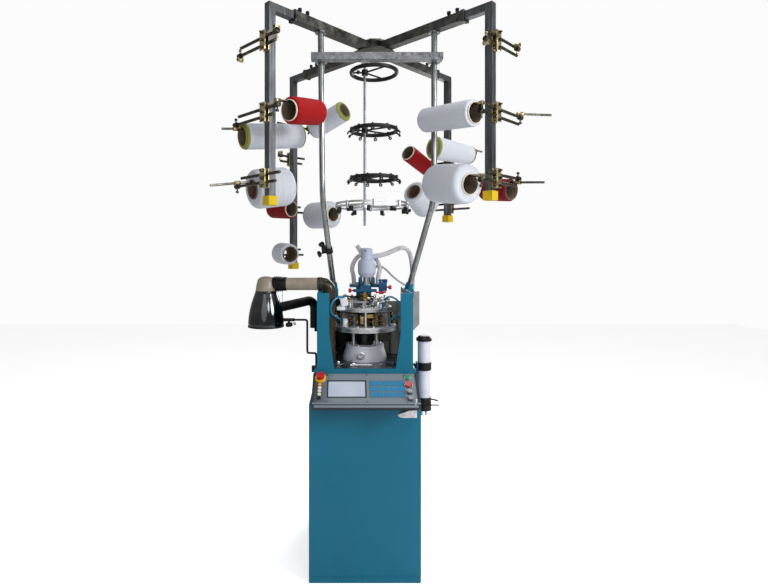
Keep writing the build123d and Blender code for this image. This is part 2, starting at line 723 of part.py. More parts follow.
def make_arm(corner):
    half = inner_tube / 2
    inside = half - inner_wall
    low, high = arm_level - half, arm_level + half
    face = post_reach - half
    arm = block(inner_start, face + 1, -half, half, low, high)
    arm -= block(inner_start - 1, face + 2, -inside, inside, low + inner_wall, high - inner_wall)
    foot = foot_levels[corner]
    post = block(face, post_reach + half, -half, half, foot, high)
    post -= block(face + inner_wall, post_reach + inside, -inside, inside, foot - 1, high - inner_wall)
    cap_half = foot_cap_side / 2
    cap = block(post_reach - cap_half, post_reach + cap_half, -cap_half, cap_half,
                foot - foot_cap_height, foot)
    cap = chamfer(cap.edges(), 2)
    nodes["creel_arm_" + corner] = creel_place(arm_headings[corner]) * group(arm + post, cap)


# ---------------------------------------------------------------- guide rings
def make_guide_ring(number, level, spokes):
    half = ring_section / 2
    cx = rod_x + ring_offset
    ring = disc(cx, rod_y, level - 5, level + 5, ring_radius, ring_radius - ring_section)
    ring += disc(rod_x, rod_y, level - 11, level + 11, 13)
    for turn in spokes:
        reach = ring_radius - half
        end = (cx + reach * math.cos(math.radians(turn)), rod_y + reach * math.sin(math.radians(turn)), level)
        ring += bar((rod_x, rod_y, level), end, 3.5)
    ring -= disc(rod_x, rod_y, level - 20, level + 20, rod_radius + running_gap)
    nodes["guide_ring_" + str(number)] = ring


def make_sensor_ring():
    cx = rod_x + 31
    solids = []
    for level in (sensor_level - 7, sensor_level + 7):
        solids.append(disc(cx, rod_y, level - 3.5, level + 3.5, sensor_radius, sensor_radius - 9))
    ring = solids[0] + solids[1]
    for turn in range(0, 360, 45):
        reach = sensor_radius - 4.5
        x = cx + reach * math.cos(math.radians(turn))
        y = rod_y + reach * math.sin(math.radians(turn))
        ring += disc(x, y, sensor_level - 13, sensor_level + 13, 7)
    hub = disc(rod_x, rod_y, sensor_level - 12, sensor_level + 12, 14)
    for turn in (35, 145, 215, 325):
        reach = sensor_radius - 8
        x, y = cx + reach * math.cos(math.radians(turn)), rod_y + reach * math.sin(math.radians(turn))
        end = (x, y, sensor_level - 7)
        hub += bar((rod_x, rod_y, sensor_level - 7), end, 3.5)
    ring += hub
    ring -= disc(rod_x, rod_y, sensor_level - 30, sensor_level + 30, rod_radius + 0.03)
    nodes["sensor_ring"] = ring


# ---------------------------------------------------------------- cone holders and packages
# Each level: height, how far the upper and the lower rod reach to either side of the post.
holder_levels = {
    "fl": [(2143, (-150, 75), (-165, 60)), (1872, (-165, 80), (-195, 45)), (1623, (-145, 85), (-185, 60))],
    "fr": [(2143, (-60, 165), (-75, 150)), (1872, (-60, 190), (-112, 165)), (1623, (-60, 172), (-110, 145))],
    "br": [(1850, (-150, 80), (-60, 112)), (1590, (-60, 130), (-110, 90))],
    "bl": [(2020, (-130, 80), (-60, 80)), (1848, (-90, 70), (-70, 60)), (1575, (-60, 140), (-115, 60)),
           (1340, (-60, 84), (-80, 60))],
}

peg_offset = holder_rod_radius + peg_radius + peg_clearance


def package(level, rod, at, heading, tilt, length, radii, rounding, gap=22, stub=0, lift=None):
    """One peg with its package. The rod is 1 for the upper and -1 for the lower, at is the place on it,
    and lift is how far the peg passes above the rod. A length of 0 is a peg with no package."""
    lift = rod * peg_offset if lift is None else lift
    return {"level": level, "rod": rod, "at": at, "heading": heading, "tilt": tilt, "length": length,
            "radii": radii, "rounding": rounding, "gap": gap, "stub": stub, "lift": lift}


packages = {
    "fl": [
        package(1, 1, 80, 53, 9, 180, (52, 50), 14, gap=56),
        package(1, -1, -195, 37, 8, 285, (53, 52), 10, stub=45),
        package(2, -1, -185, 37, 9, 178, (82, 82), 26, gap=60, stub=100, lift=peg_offset),
    ],
    "fr": [
        package(1, -1, -112, 127, 5, 262, (50, 48), 8, lift=2 * peg_offset),
        package(1, 1, 190, 180, 2, 0, (0, 0), 0, stub=110),
        package(2, -1, -110, 122, 7, 205, (76, 76), 24, gap=50, lift=peg_offset),
        package(2, 1, 172, 127, 6, 140, (46, 45), 6, gap=26, stub=100, lift=-peg_offset),
    ],
    "br": [
        package(0, 1, -150, 212, 3, 262, (46, 58), 8, gap=26, stub=40),
        package(0, -1, 112, 223, 21, 200, (43, 44), 5, gap=26),
        package(1, 1, 130, 231, 24, 160, (79, 64), 10, gap=30),
    ],
    "bl": [
        package(0, 1, -130, 321, 17, 240, (54, 54), 8, gap=28),
        package(2, -1, -115, 315, 0, 180, (72, 72), 16, gap=40, lift=peg_offset),
        package(2, 1, 140, 318, -4, 150, (50, 50), 6, gap=26),
        package(3, 1, 84, 304, -3, 118, (55, 54), 8, gap=26),
    ],
}

# Pivot blocks that carry no peg: level, rod, place on it.
spare_blocks = {"fl": [(0, 1, 75), (0, -1, -165)], "fr": [(0, -1, -75), (0, 1, 165)],
                "br": [], "bl": [(1, 1, 70)]}


def corner_directions(corner):
    turn = math.radians(arm_headings[corner])
    outward = Vector(math.cos(turn), math.sin(turn), 0)
    across = Vector(-outward.Y, outward.X, 0)
    return outward, across


def rod_point(corner, level, rod_side, at):
    outward, across = corner_directions(corner)
    height = holder_levels[corner][level][0] + rod_side * holder_spacing / 2
    return Vector(creel_x, creel_y, height) + outward * (post_reach + holder_offset) + across * at


def package_frame(corner, item):
    """The peg's centre in its block, the package's direction and the upward direction across it."""
    turn, tilt = math.radians(item["heading"]), math.radians(item["tilt"])
    along = Vector(math.cos(turn) * math.cos(tilt), math.sin(turn) * math.cos(tilt), math.sin(tilt))
    upward = Vector(-math.cos(turn) * math.sin(tilt), -math.sin(turn) * math.sin(tilt), math.cos(tilt))
    centre = rod_point(corner, item["level"], item["rod"], item["at"]) + Vector(0, 0, item["lift"])
    return centre, along, upward


def make_clamp(corner, height):
    """Two plates and two bolts that hold both rods against the post's outer face."""
    outer_face = post_reach + inner_tube / 2
    rod_back = post_reach + holder_offset - holder_rod_radius - 0.1
    rod_front = post_reach + holder_offset + holder_rod_radius + 0.1
    low, high = height - clamp_height / 2, height + clamp_height / 2
    half = clamp_width / 2
    clamp = block(outer_face, rod_back, -half, half, low, high)
    clamp += block(rod_front, rod_front + 5, -half, half, low, high)
    for z in (height - bolt_rise, height, height + bolt_rise):
        clamp += bar((rod_back - 1, 0, z), (rod_front + 9, 0, z), 3.0)
        clamp += bar((rod_front + 4, 0, z), (rod_front + 9, 0, z), 5.5)
    return creel_place(arm_headings[corner]) * clamp


def make_pivot_block(corner, level, rod, at, lift):
    """A block with a cross hole for the rod, and its set screw on the side away from the peg."""
    _, across = corner_directions(corner)
    centre = rod_point(corner, level, rod, at)
    side = 1 if lift > 0 else -1
    plane = Plane(origin=centre + Vector(0, 0, lift / 2), x_dir=across, z_dir=(0, 0, 1))
    solid = plane.location * Box(26, 24, abs(lift) + 28)
    screw_start = centre - Vector(0, 0, side * 13)
    solid += bar(tuple(screw_start), tuple(screw_start - Vector(0, 0, side * 12)), 3.5)
    solid -= bar(tuple(centre - across * 40), tuple(centre + across * 40), holder_rod_radius + 0.03)
    return solid


def make_holders(corner):
    solids = []
    for level, (height, upper, lower) in enumerate(holder_levels[corner]):
        solids.append(make_clamp(corner, height))
        for rod_side, (start, end) in ((1, upper), (-1, lower)):
            start_point = rod_point(corner, level, rod_side, start - 10)
            end_point = rod_point(corner, level, rod_side, end + 10)
            solids.append(bar(tuple(start_point), tuple(end_point), holder_rod_radius))
    for item in packages[corner]:
        centre, along, upward = package_frame(corner, item)
        back = -16 - item["stub"]
        inside = item["gap"] + 0.7 * item["length"] if item["length"] else 16
        if item["length"]:
            solids.append(bar(tuple(centre + along * back), tuple(centre + along * inside), peg_radius))
        else:  # the empty peg has a shoulder, where a tube would stop short of the block
            shoulder = centre - along * peg_shoulder
            peg = bar(tuple(centre + along * back), tuple(shoulder), peg_radius)
            solids.append(peg + bar(tuple(shoulder), tuple(centre + along * inside), peg_radius - 0.4))
        pivot = make_pivot_block(corner, item["level"], item["rod"], item["at"], item["lift"])
        solids.append(pivot - bar(tuple(centre - along * 40), tuple(centre + along * 40), peg_radius + 0.03))
    for level, rod, at in spare_blocks[corner]:
        solids.append(make_pivot_block(corner, level, rod, at, rod * peg_offset))
    nodes["cone_holders_" + corner] = group(*solids)


def package_profile(item):
    """Half section of a cardboard tube with its wound yarn: (radius, distance from the near end)."""
    length, (near, far), round_off = item["length"], item["radii"], item["rounding"]
    tube_radius = tube_bore + tube_wall
    near_face, far_face = 5.0, length - 5.0
    points = [(tube_bore, 0), (tube_radius, 0), (tube_radius, near_face)]
    if near - round_off * 0.7 > tube_radius + 1:
        points.append((near - round_off * 0.7, near_face))
    points += [(near, near_face + round_off), (far, far_face - round_off)]
    if far - round_off * 0.7 > tube_radius + 1:
        points.append((far - round_off * 0.7, far_face))
    points += [(tube_radius, far_face), (tube_radius, length), (tube_bore, length)]
    return points


def make_packages(corner):
    solids = []
    for item in packages[corner]:
        if item["length"] == 0:
            continue
        centre, along, upward = package_frame(corner, item)
        drop = tube_bore - peg_radius - 0.3
        mouth = centre + along * item["gap"] - upward * drop
        plane = Plane(origin=mouth, z_dir=along)
        solids.append(plane.location * turned(package_profile(item)))
    nodes["yarn_packages_" + corner] = group(*solids)


# ---------------------------------------------------------------- build
make_base()
make_cabinet()
make_rear_door()
make_console()
make_head_frame()
make_side_plates()
make_head()
make_cylinder()
make_bracket()
make_drive()
make_hoses()
make_left_side()
make_right_side()
make_uprights()
make_crossbar()
make_spider()
ring_spokes = [(60, 180, 300), (45, 180, 315), (60, 180, 300)]
for number, (level, spokes) in enumerate(zip(ring_levels, ring_spokes), start=1):
    make_guide_ring(number, level, spokes)
make_sensor_ring()
for corner in arm_headings:
    make_arm(corner)
    make_holders(corner)
    make_packages(corner)

os.makedirs("parts", exist_ok=True)
for name, shape in nodes.items():
    export_step(shape, os.path.join("parts", name + ".step"))
print(len(nodes), "nodes written")
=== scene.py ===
import bpy
import bmesh
import math
from mathutils import Matrix, Vector


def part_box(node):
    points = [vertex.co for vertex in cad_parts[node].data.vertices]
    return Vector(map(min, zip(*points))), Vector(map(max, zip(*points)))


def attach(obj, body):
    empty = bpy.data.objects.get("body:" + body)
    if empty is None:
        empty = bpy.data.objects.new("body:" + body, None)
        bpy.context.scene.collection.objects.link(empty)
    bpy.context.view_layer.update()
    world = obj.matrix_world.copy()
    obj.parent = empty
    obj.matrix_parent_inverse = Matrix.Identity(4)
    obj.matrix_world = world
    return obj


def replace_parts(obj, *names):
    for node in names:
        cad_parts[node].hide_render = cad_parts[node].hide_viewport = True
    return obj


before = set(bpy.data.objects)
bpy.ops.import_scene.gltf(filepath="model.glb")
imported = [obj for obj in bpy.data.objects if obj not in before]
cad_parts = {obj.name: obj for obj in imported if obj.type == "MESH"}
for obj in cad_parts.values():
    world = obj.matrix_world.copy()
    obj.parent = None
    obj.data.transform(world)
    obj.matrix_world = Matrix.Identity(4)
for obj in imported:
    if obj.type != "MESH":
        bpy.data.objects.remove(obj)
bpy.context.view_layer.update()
print("loaded", len(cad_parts), "nodes")

mm = 0.001
headX, headY = 0.006, -0.050
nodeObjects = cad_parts


# small helpers

def addNode(tree, kind, values, feeds, **settings):
    # a shader node with its plain values set and its sockets fed
    made = tree.nodes.new("ShaderNode" + kind)
    for key, value in settings.items():
        setattr(made, key, value)
    for socket, value in values.items():
        made.inputs[socket].default_value = value
    for socket, source in feeds.items():
        tree.links.new(source, made.inputs[socket])
    return made


def objectMode():
    if bpy.context.object and bpy.context.object.mode != "OBJECT":
        bpy.ops.object.mode_set(mode="OBJECT")
    bpy.ops.object.select_all(action="DESELECT")


def pick(*pieces):
    objectMode()
    for piece in pieces:
        piece.select_set(True)
    bpy.context.view_layer.objects.active = pieces[0]


def applyPlace(piece, matrix=None):
    # puts the piece where it belongs and bakes that into its mesh
    if matrix is not None:
        piece.matrix_world = matrix
    pick(piece)
    bpy.ops.object.transform_apply(location=True, rotation=True, scale=True)
    return piece


def at(*place):
    return Matrix.Translation(place)


def finishPiece(piece, name, body, material, smooth=40):
    piece.name = name
    piece.data.name = name
    piece.data.materials.clear()
    piece.data.materials.append(material)
    if smooth:
        pick(piece)
        bpy.ops.object.shade_smooth_by_angle(angle=math.radians(smooth))
    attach(piece, body)
    return piece


def copyPiece(piece, matrix):
    twin = piece.copy()
    twin.data = piece.data.copy()
    bpy.context.collection.objects.link(twin)
    return applyPlace(twin, matrix @ piece.matrix_world)


def joined(pieces):
    pick(*pieces)
    if len(pieces) > 1:
        bpy.ops.object.join()
    return bpy.context.object


def aim(start, direction, up=None):
    # a frame whose Z runs along direction
    z = Vector(direction).normalized()
    guide = Vector(up) if up else (Vector((0, 0, 1)) if abs(z.z) < 0.9 else Vector((1, 0, 0)))
    x = guide.cross(z).normalized()
    y = z.cross(x)
    turn = Matrix((x, y, z)).transposed().to_4x4()
    return Matrix.Translation(Vector(start)) @ turn


def turnedPiece(outline, segments=32, closed=False, unit=mm):
    # a ring of vertices, extruded and scaled from one (radius, height) to the next
    objectMode()
    outline = [(radius * unit, height * unit) for radius, height in outline]
    radius, height = outline[0]
    bpy.ops.mesh.primitive_circle_add(vertices=segments, radius=radius, fill_type="NOTHING",
                                      location=(0, 0, height))
    piece = applyPlace(bpy.context.object)
    bpy.ops.object.mode_set(mode="EDIT")
    bpy.ops.mesh.select_mode(type="VERT")
    bpy.ops.mesh.select_all(action="SELECT")
    if not closed:
        bpy.ops.mesh.edge_face_add()
    steps = outline[1:] + ([outline[0]] if closed else [])
    for nextRadius, nextHeight in steps:
        bpy.ops.mesh.extrude_region_move(TRANSFORM_OT_translate={"value": (0, 0, nextHeight - height)})
        ratio = nextRadius / radius
        bpy.ops.transform.resize(value=(ratio, ratio, 1), center_override=(0, 0, nextHeight))
        radius, height = nextRadius, nextHeight
    bpy.ops.mesh.select_all(action="SELECT")
    bpy.ops.mesh.remove_doubles(threshold=1e-5)
    bpy.ops.mesh.normals_make_consistent(inside=False)
    objectMode()
    return piece


def bevelledBox(size, edge=1, segments=2):
    # size and edge in mm
    objectMode()
    bpy.ops.mesh.primitive_cube_add(size=1)
    piece = bpy.context.object
    piece.scale = [side * mm for side in size]
    applyPlace(piece)
    bpy.ops.object.mode_set(mode="EDIT")
    bpy.ops.mesh.select_all(action="SELECT")
    bpy.ops.mesh.bevel(offset=edge * mm, segments=segments, affect="EDGES")
    objectMode()
    return piece


def selectFaces(piece, test):
    pick(piece)
    bpy.ops.object.mode_set(mode="EDIT")
    bpy.ops.mesh.select_mode(type="FACE")
    bpy.ops.mesh.select_all(action="DESELECT")
    mesh = bmesh.from_edit_mesh(piece.data)
    for face in mesh.faces:
        face.select = test(face.calc_center_median(), face.normal)
    bmesh.update_edit_mesh(piece.data)


def bentRod(points, radius, resolution=10, order=3):
    # a smooth rod through control points, made a mesh
    objectMode()
    line = bpy.data.curves.new("rod", "CURVE")
    line.dimensions = "3D"
    run = line.splines.new("NURBS")
    run.points.add(len(points) - 1)
    for spot, point in zip(run.points, points):
        spot.co = (*point, 1)
    run.order_u = order
    run.use_endpoint_u = True
    run.resolution_u = resolution
    line.bevel_depth = radius
    line.bevel_resolution = 4
    line.use_fill_caps = True
    piece = bpy.data.objects.new("rod", line)
    bpy.context.collection.objects.link(piece)
    pick(piece)
    bpy.ops.object.convert(target="MESH")
    return bpy.context.object


def socketScrew(radius, height):
    # cap screw with a hexagon socket
    piece = turnedPiece([(radius, 0), (radius, height * 0.85), (radius * 0.88, height),
                         (radius * 0.5, height)], 18, unit=1)
    selectFaces(piece, lambda centre, normal: centre.z > height * 0.98 and normal.z > 0.9
                and math.hypot(centre.x, centre.y) < radius * 0.3)
    bpy.ops.mesh.extrude_region_move(TRANSFORM_OT_translate={"value": (0, 0, -height * 0.5)})
    objectMode()
    return piece


def hexNut(radius, height, bore=0.0):
    outline = [(radius * 0.93, 0), (radius, height * 0.12), (radius, height * 0.88), (radius * 0.93, height)]
    if bore:
        outline += [(bore, height), (bore, 0)]
    return turnedPiece(outline, 6, closed=bool(bore), unit=1)


# camera, light, floor
cameraSetup = {"place": (-0.069, -2.342, 1.352), "lens": 24.05, "shiftX": 0.0469, "shiftY": -0.0566}
camera = bpy.data.cameras.new("camera")
camera.lens = cameraSetup["lens"]
camera.shift_x = cameraSetup["shiftX"]
camera.shift_y = cameraSetup["shiftY"]
cameraObject = bpy.data.objects.new("camera", camera)
bpy.context.collection.objects.link(cameraObject)
cameraObject.location = cameraSetup["place"]
cameraObject.rotation_euler = (math.radians(90), 0, 0)
bpy.context.scene.camera = cameraObject
bpy.context.scene.view_settings.view_transform = "Standard"

lightSetup = {
    "keyRight": {"place": (3.0, -2.4, 2.5), "aim": (0, 0, 1.3), "size": 1.5, "power": 98},
    "fillFront": {"place": (-0.6, -3.6, 2.2), "aim": (0, 0, 1.1), "size": 2.4, "power": 15},
    "headLamp": {"place": (0.5, -1.9, 1.9), "aim": (0.02, -0.05, 1.05), "size": 0.5, "power": 5},
    "top": {"place": (0.4, -0.3, 3.8), "aim": (0, 0, 1.0), "size": 1.6, "power": 24},
    "rear": {"place": (1.2, 2.8, 2.4), "aim": (0, 0, 1.4), "size": 2.0, "power": 60},
}
for name, light in lightSetup.items():
    lamp = bpy.data.lights.new(name, "AREA")
    lamp.shape = "DISK"
    lamp.size = light["size"]
    lamp.energy = light["power"]
    lampObject = bpy.data.objects.new(name, lamp)
    bpy.context.collection.objects.link(lampObject)
    lampObject.location = light["place"]
    toward = Vector(light["aim"]) - Vector(light["place"])
    lampObject.rotation_euler = toward.to_track_quat("-Z", "Y").to_euler()

# a white backdrop, with a softer grey room for the light it gives
world = bpy.data.worlds.new("studio")
bpy.context.scene.world = world
world.use_nodes = True
backdrop = world.node_tree.nodes["Background"]
backdrop.inputs["Color"].default_value = (1, 1, 1, 1)
worldRay = addNode(world.node_tree, "LightPath", {}, {}).outputs["Is Camera Ray"]
worldLevel = addNode(world.node_tree, "MapRange", {"To Min": 0.32, "To Max": 0.97}, {"Value": worldRay})
world.node_tree.links.new(worldLevel.outputs["Result"], backdrop.inputs["Strength"])
print("camera and lights ready")


# materials

def newMaterial(name, colour, roughness=0.5, metallic=0.0, **more):
    material = bpy.data.materials.new(name)
    material.use_nodes = True
    tree = material.node_tree
    shader = tree.nodes["Principled BSDF"]
    shader.inputs["Base Color"].default_value = (*colour, 1)
    shader.inputs["Roughness"].default_value = roughness
    shader.inputs["Metallic"].default_value = metallic
    for key, value in more.items():
        shader.inputs[key.replace("_", " ")].default_value = value
    return material, tree, shader


def objectPattern(tree, stretch=(1, 1, 1), turn=(0, 0, 0)):
    place = addNode(tree, "TexCoord", {}, {}).outputs["Object"]
    return addNode(tree, "Mapping", {"Scale": stretch, "Rotation": turn}, {"Vector": place}).outputs["Vector"]


def noise(tree, vector, scale, detail=3, roughness=0.5):
    values = {"Scale": scale, "Detail": detail, "Roughness": roughness}
    return addNode(tree, "TexNoise", values, {"Vector": vector}).outputs["Fac"]


def ramp(tree, value, stops):
    node = tree.nodes.new("ShaderNodeValToRGB")
    node.color_ramp.elements[0].position = stops[0][0]
    node.color_ramp.elements[0].color = (*stops[0][1], 1)
    node.color_ramp.elements[1].position = stops[-1][0]
    node.color_ramp.elements[1].color = (*stops[-1][1], 1)
    for place, colour in stops[1:-1]:
        stop = node.color_ramp.elements.new(place)
        stop.color = (*colour, 1)
    tree.links.new(value, node.inputs["Fac"])
    return node.outputs["Color"]


def spread(tree, value, low, high):
    values = {"From Min": 0.3, "From Max": 0.7, "To Min": low, "To Max": high}
    return addNode(tree, "MapRange", values, {"Value": value}).outputs["Result"]


def addBump(tree, shader, value, strength, distance):
    bump = addNode(tree, "Bump", {"Strength": strength, "Distance": distance}, {"Height": value})
    tree.links.new(bump.outputs["Normal"], shader.inputs["Normal"])


def multiply(tree, factor, base, layer):
    mix = addNode(tree, "Mix", {"Factor": factor}, {"A": base, "B": layer}, data_type="RGBA",
                  blend_type="MULTIPLY")
    return mix.outputs["Result"]


def linear(red, green, blue):
    def one(level):
        level = level / 255
        return level / 12.92 if level <= 0.04045 else ((level + 0.055) / 1.055) ** 2.4
    return (one(red), one(green), one(blue))


def tint(colour, factor):
    return tuple(min(1.0, channel * factor) for channel in colour)


def enamel(name, colour, roughness=0.34, grain=520, change=0.12):
    # sprayed paint: slight orange peel, cloudy tone, roughness that wanders
    material, tree, shader = newMaterial(name, colour, roughness, Coat_Weight=0.06, Coat_Roughness=0.3,
            Specular_IOR_Level=0.28)
    vector = objectPattern(tree)
    cloud = noise(tree, vector, 3.2, 4)
    stops = [(0.25, tint(colour, 1 - change)), (0.75, tint(colour, 1 + change))]
    tree.links.new(ramp(tree, cloud, stops), shader.inputs["Base Color"])
    smear = noise(tree, vector, 14, 5)
    tree.links.new(spread(tree, smear, roughness * 0.8, roughness * 1.25), shader.inputs["Roughness"])
    addBump(tree, shader, noise(tree, vector, grain, 2), 0.12, 0.0004)
    return material


def metal(name, dark, light, roughness=0.32, stretch=(1, 1, 1), scale=60, bump=0.1, patches=None,
          turn=(0, 0, 0)):
    # brushed or mill-finished metal: streaks along one way over broad tone changes
    material, tree, shader = newMaterial(name, light, roughness, 1.0)
    streakVector = objectPattern(tree, stretch, turn)
    streak = noise(tree, streakVector, scale, 6, 0.6)
    colour = ramp(tree, streak, [(0.3, dark), (0.7, light)])
    if patches:
        blotch = noise(tree, objectPattern(tree), patches, 5, 0.65)
        stain = ramp(tree, blotch, [(0.35, (0.5, 0.48, 0.46)), (0.62, (1, 1, 1))])
        colour = multiply(tree, 0.75, colour, stain)
    tree.links.new(colour, shader.inputs["Base Color"])
    tree.links.new(spread(tree, streak, roughness * 0.7, roughness * 1.4), shader.inputs["Roughness"])
    addBump(tree, shader, streak, bump, 0.0003)
    return material


def plastic(name, colour, roughness=0.35, grain=900, bump=0.08, change=0.08, **more):
    material, tree, shader = newMaterial(name, colour, roughness, **more)
    vector = objectPattern(tree)
    cloud = noise(tree, vector, 22, 3)
    stops = [(0.3, tint(colour, 1 - change)), (0.7, tint(colour, 1 + change))]
    tree.links.new(ramp(tree, cloud, stops), shader.inputs["Base Color"])
    tree.links.new(spread(tree, cloud, roughness * 0.85, roughness * 1.2), shader.inputs["Roughness"])
    addBump(tree, shader, noise(tree, vector, grain, 2), bump, 0.0003)
    return material


def clearTube(name, colour, cloudy, transmission, roughness=0.22):
    material, tree, shader = newMaterial(name, colour, roughness, Transmission_Weight=transmission, IOR=1.35)
    shader.inputs["Subsurface Weight"].default_value = 0.15
    shader.inputs["Subsurface Radius"].default_value = (0.01, 0.01, 0.01)
    vector = objectPattern(tree)
    tone = noise(tree, vector, 18, 4)
    tree.links.new(ramp(tree, tone, [(0.3, cloudy), (0.7, colour)]), shader.inputs["Base Color"])
    addBump(tree, shader, noise(tree, vector, 160, 2), 0.1, 0.0004)
    return material


def woundYarn(name, colour, paintedGrooveShade, turns=150, sheen=0.25):
    # fine thread laid in two crossing helices, on the piece's own UV map: U round, V along in metres x 10;
    # the grooves between the threads take a darker colour, a painted shade
    material, tree, shader = newMaterial(name, colour, 0.66, Sheen_Weight=sheen, Sheen_Roughness=0.4,
            Specular_IOR_Level=0.2)
    shader.inputs["Sheen Tint"].default_value = (*tint(colour, 1.2), 1)
    uv = addNode(tree, "UVMap", {}, {}, uv_map="wound").outputs["UV"]
    heights = []
    for lean in (0.07, -0.07):
        turned = addNode(tree, "Mapping", {"Rotation": (0, 0, lean)}, {"Vector": uv}).outputs["Vector"]
        wave = addNode(tree, "TexWave", {"Scale": turns, "Distortion": 1.4, "Detail": 2, "Detail Scale": 2.0},
                       {"Vector": turned}, wave_type="BANDS", bands_direction="Y")
        heights.append(wave.outputs["Fac"])
    peak = addNode(tree, "Math", {}, {0: heights[0], 1: heights[1]}, operation="MAXIMUM")
    layers = addNode(tree, "Mapping", {"Scale": (0.6, 26, 1)}, {"Vector": uv}).outputs["Vector"]
    bands = ramp(tree, noise(tree, layers, 1.0, 4), [(0.35, (0.86, 0.86, 0.87)), (0.6, (1, 1, 1))])
    # grooves between the threads darker than the thread tops: painted shade
    thread = ramp(tree, peak.outputs["Value"], [(0.2, paintedGrooveShade), (0.8, colour)])
    tree.links.new(multiply(tree, 1.0, thread, bands), shader.inputs["Base Color"])
    addBump(tree, shader, peak.outputs["Value"], 0.55, 0.0005)
    return material


def cardboard(name, colour, dark):
    material, tree, shader = newMaterial(name, colour, 0.8)
    vector = objectPattern(tree, (1, 1, 1))
    fibre = noise(tree, vector, 240, 6, 0.7)
    tree.links.new(ramp(tree, fibre, [(0.3, dark), (0.7, colour)]), shader.inputs["Base Color"])
    addBump(tree, shader, fibre, 0.25, 0.0005)
    return material


teal = linear(3, 101, 128)
cabinetPaint = enamel("cabinetPaint", teal, 0.42, change=0.07)
bracketPaint = enamel("bracketPaint", linear(18, 74, 106), 0.3)
consolePaint = enamel("consolePaint", linear(120, 130, 139), 0.5, 700, 0.06)
consoleDark = enamel("consoleDark", linear(46, 50, 56), 0.5, 700)
whiteCasting = enamel("whiteCasting", linear(226, 227, 238), 0.35, change=0.05)
capEnamel = enamel("capEnamel", linear(176, 182, 200), 0.32, change=0.05)
motorPaint = enamel("motorPaint", linear(70, 76, 80), 0.45)
whiteEnamel = enamel("whiteEnamel", linear(222, 223, 228), 0.25, change=0.03)
yellowPaint = enamel("yellowPaint", linear(204, 172, 10), 0.5, change=0.1)
blueValve = enamel("blueValve", linear(18, 66, 112), 0.3)
screenDark = enamel("screenDark", linear(24, 26, 25), 0.6, 200, 0.3)
screenGrey = enamel("screenGrey", linear(142, 142, 132), 0.6, 200, 0.15)
machinedSteel = metal("machinedSteel", (0.2, 0.21, 0.22), (0.5, 0.51, 0.53), 0.38, (1, 1, 14), 40, patches=40)
plateAluminium = metal("plateAluminium", (0.66, 0.67, 0.69), (0.86, 0.87, 0.9), 0.48, (1, 1, 14), 60,
                       patches=60)
polishedSteel = metal("polishedSteel", (0.42, 0.43, 0.45), (0.78, 0.79, 0.82), 0.16, (1, 1, 6), 60, 0.05)
rawSteel = metal("rawSteel", (0.05, 0.05, 0.044), (0.17, 0.17, 0.155), 0.42, (1, 1, 1), 34, 0.18, patches=9)
postSteel = metal("postSteel", (0.09, 0.093, 0.096), (0.25, 0.265, 0.29), 0.4, (18, 18, 1), 10, 0.15,
                  patches=6)
galvanised = metal("galvanised", (0.24, 0.26, 0.28), (0.44, 0.47, 0.5), 0.42, (1, 1, 1), 70, 0.14, patches=16)
uprightSteel = metal("uprightSteel", (0.16, 0.165, 0.165), (0.46, 0.48, 0.49), 0.3, (20, 20, 1), 10, 0.1,
                     patches=5)
oliveSteel = metal("oliveSteel", (0.03, 0.028, 0.02), (0.15, 0.13, 0.09), 0.36, (1, 1, 1), 60, 0.15,
                   patches=30)
pegSteel = metal("pegSteel", (0.16, 0.155, 0.13), (0.36, 0.35, 0.3), 0.32, (1, 1, 1), 60, 0.1, patches=30)
yellowZinc = metal("yellowZinc", (0.4, 0.31, 0.13), (0.78, 0.7, 0.44), 0.3, (1, 1, 1), 80, 0.12, patches=40)
brassMetal = metal("brassMetal", (0.42, 0.25, 0.06), (0.86, 0.6, 0.22), 0.26, (1, 1, 8), 60, 0.1, patches=60)
satinAluminium = metal("satinAluminium", (0.4, 0.41, 0.43), (0.7, 0.71, 0.74), 0.36, (1, 1, 10), 50)
oilBlack = metal("oilBlack", (0.01, 0.01, 0.01), (0.06, 0.06, 0.06), 0.3, (1, 1, 1), 60, 0.1)
hoodSteel = metal("hoodSteel", (0.03, 0.033, 0.036), (0.12, 0.125, 0.13), 0.1, (1, 1, 2), 5, 0.02)
ringBlack = plastic("ringBlack", (0.004, 0.004, 0.005), 0.4, 300, 0.05, Specular_IOR_Level=0.3)
blackPlastic = plastic("blackPlastic", (0.005, 0.005, 0.006), 0.4, Specular_IOR_Level=0.3)
ductRubber = plastic("ductRubber", (0.003, 0.003, 0.003), 0.65, 500, 0.2, Specular_IOR_Level=0.25)
redPlastic = plastic("redPlastic", linear(188, 8, 28), 0.25, Coat_Weight=0.4, Specular_IOR_Level=0.35)
greenPlastic = plastic("greenPlastic", linear(12, 136, 80), 0.25, Coat_Weight=0.5)
yellowPlastic = plastic("yellowPlastic", linear(236, 190, 40), 0.35)
lampLens = plastic("lampLens", linear(214, 212, 196), 0.3, 400, 0.05, Coat_Weight=0.3)
amberLens = plastic("amberLens", linear(222, 150, 70), 0.3, 400, 0.05, Coat_Weight=0.3)
keyCyan = plastic("keyCyan", linear(12, 128, 178), 0.4, 600, 0.1, 0.12, Specular_IOR_Level=0.3)
keyPad = plastic("keyPad", linear(84, 112, 130), 0.45, 600, 0.1)
bottleWhite = plastic("bottleWhite", linear(212, 210, 222), 0.4, 200, 0.1)
smokedBox = plastic("smokedBox", linear(150, 150, 150), 0.35, 120, 0.1, 0.12)
blueTube = plastic("blueTube", linear(12, 122, 156), 0.22, 300, 0.05)
clearHose = clearTube("clearHose", linear(214, 212, 214), linear(188, 186, 190), 0.2, 0.3)
smokedTube = clearTube("smokedTube", linear(172, 162, 147), linear(138, 127, 113), 0.12, 0.32)
smokedDark = clearTube("smokedDark", linear(74, 66, 54), linear(36, 32, 24), 0.15, 0.22)
# each yarn's second colour is the painted shade in the grooves between its threads
whiteYarn = woundYarn("whiteYarn", linear(214, 218, 226), linear(170, 176, 186))
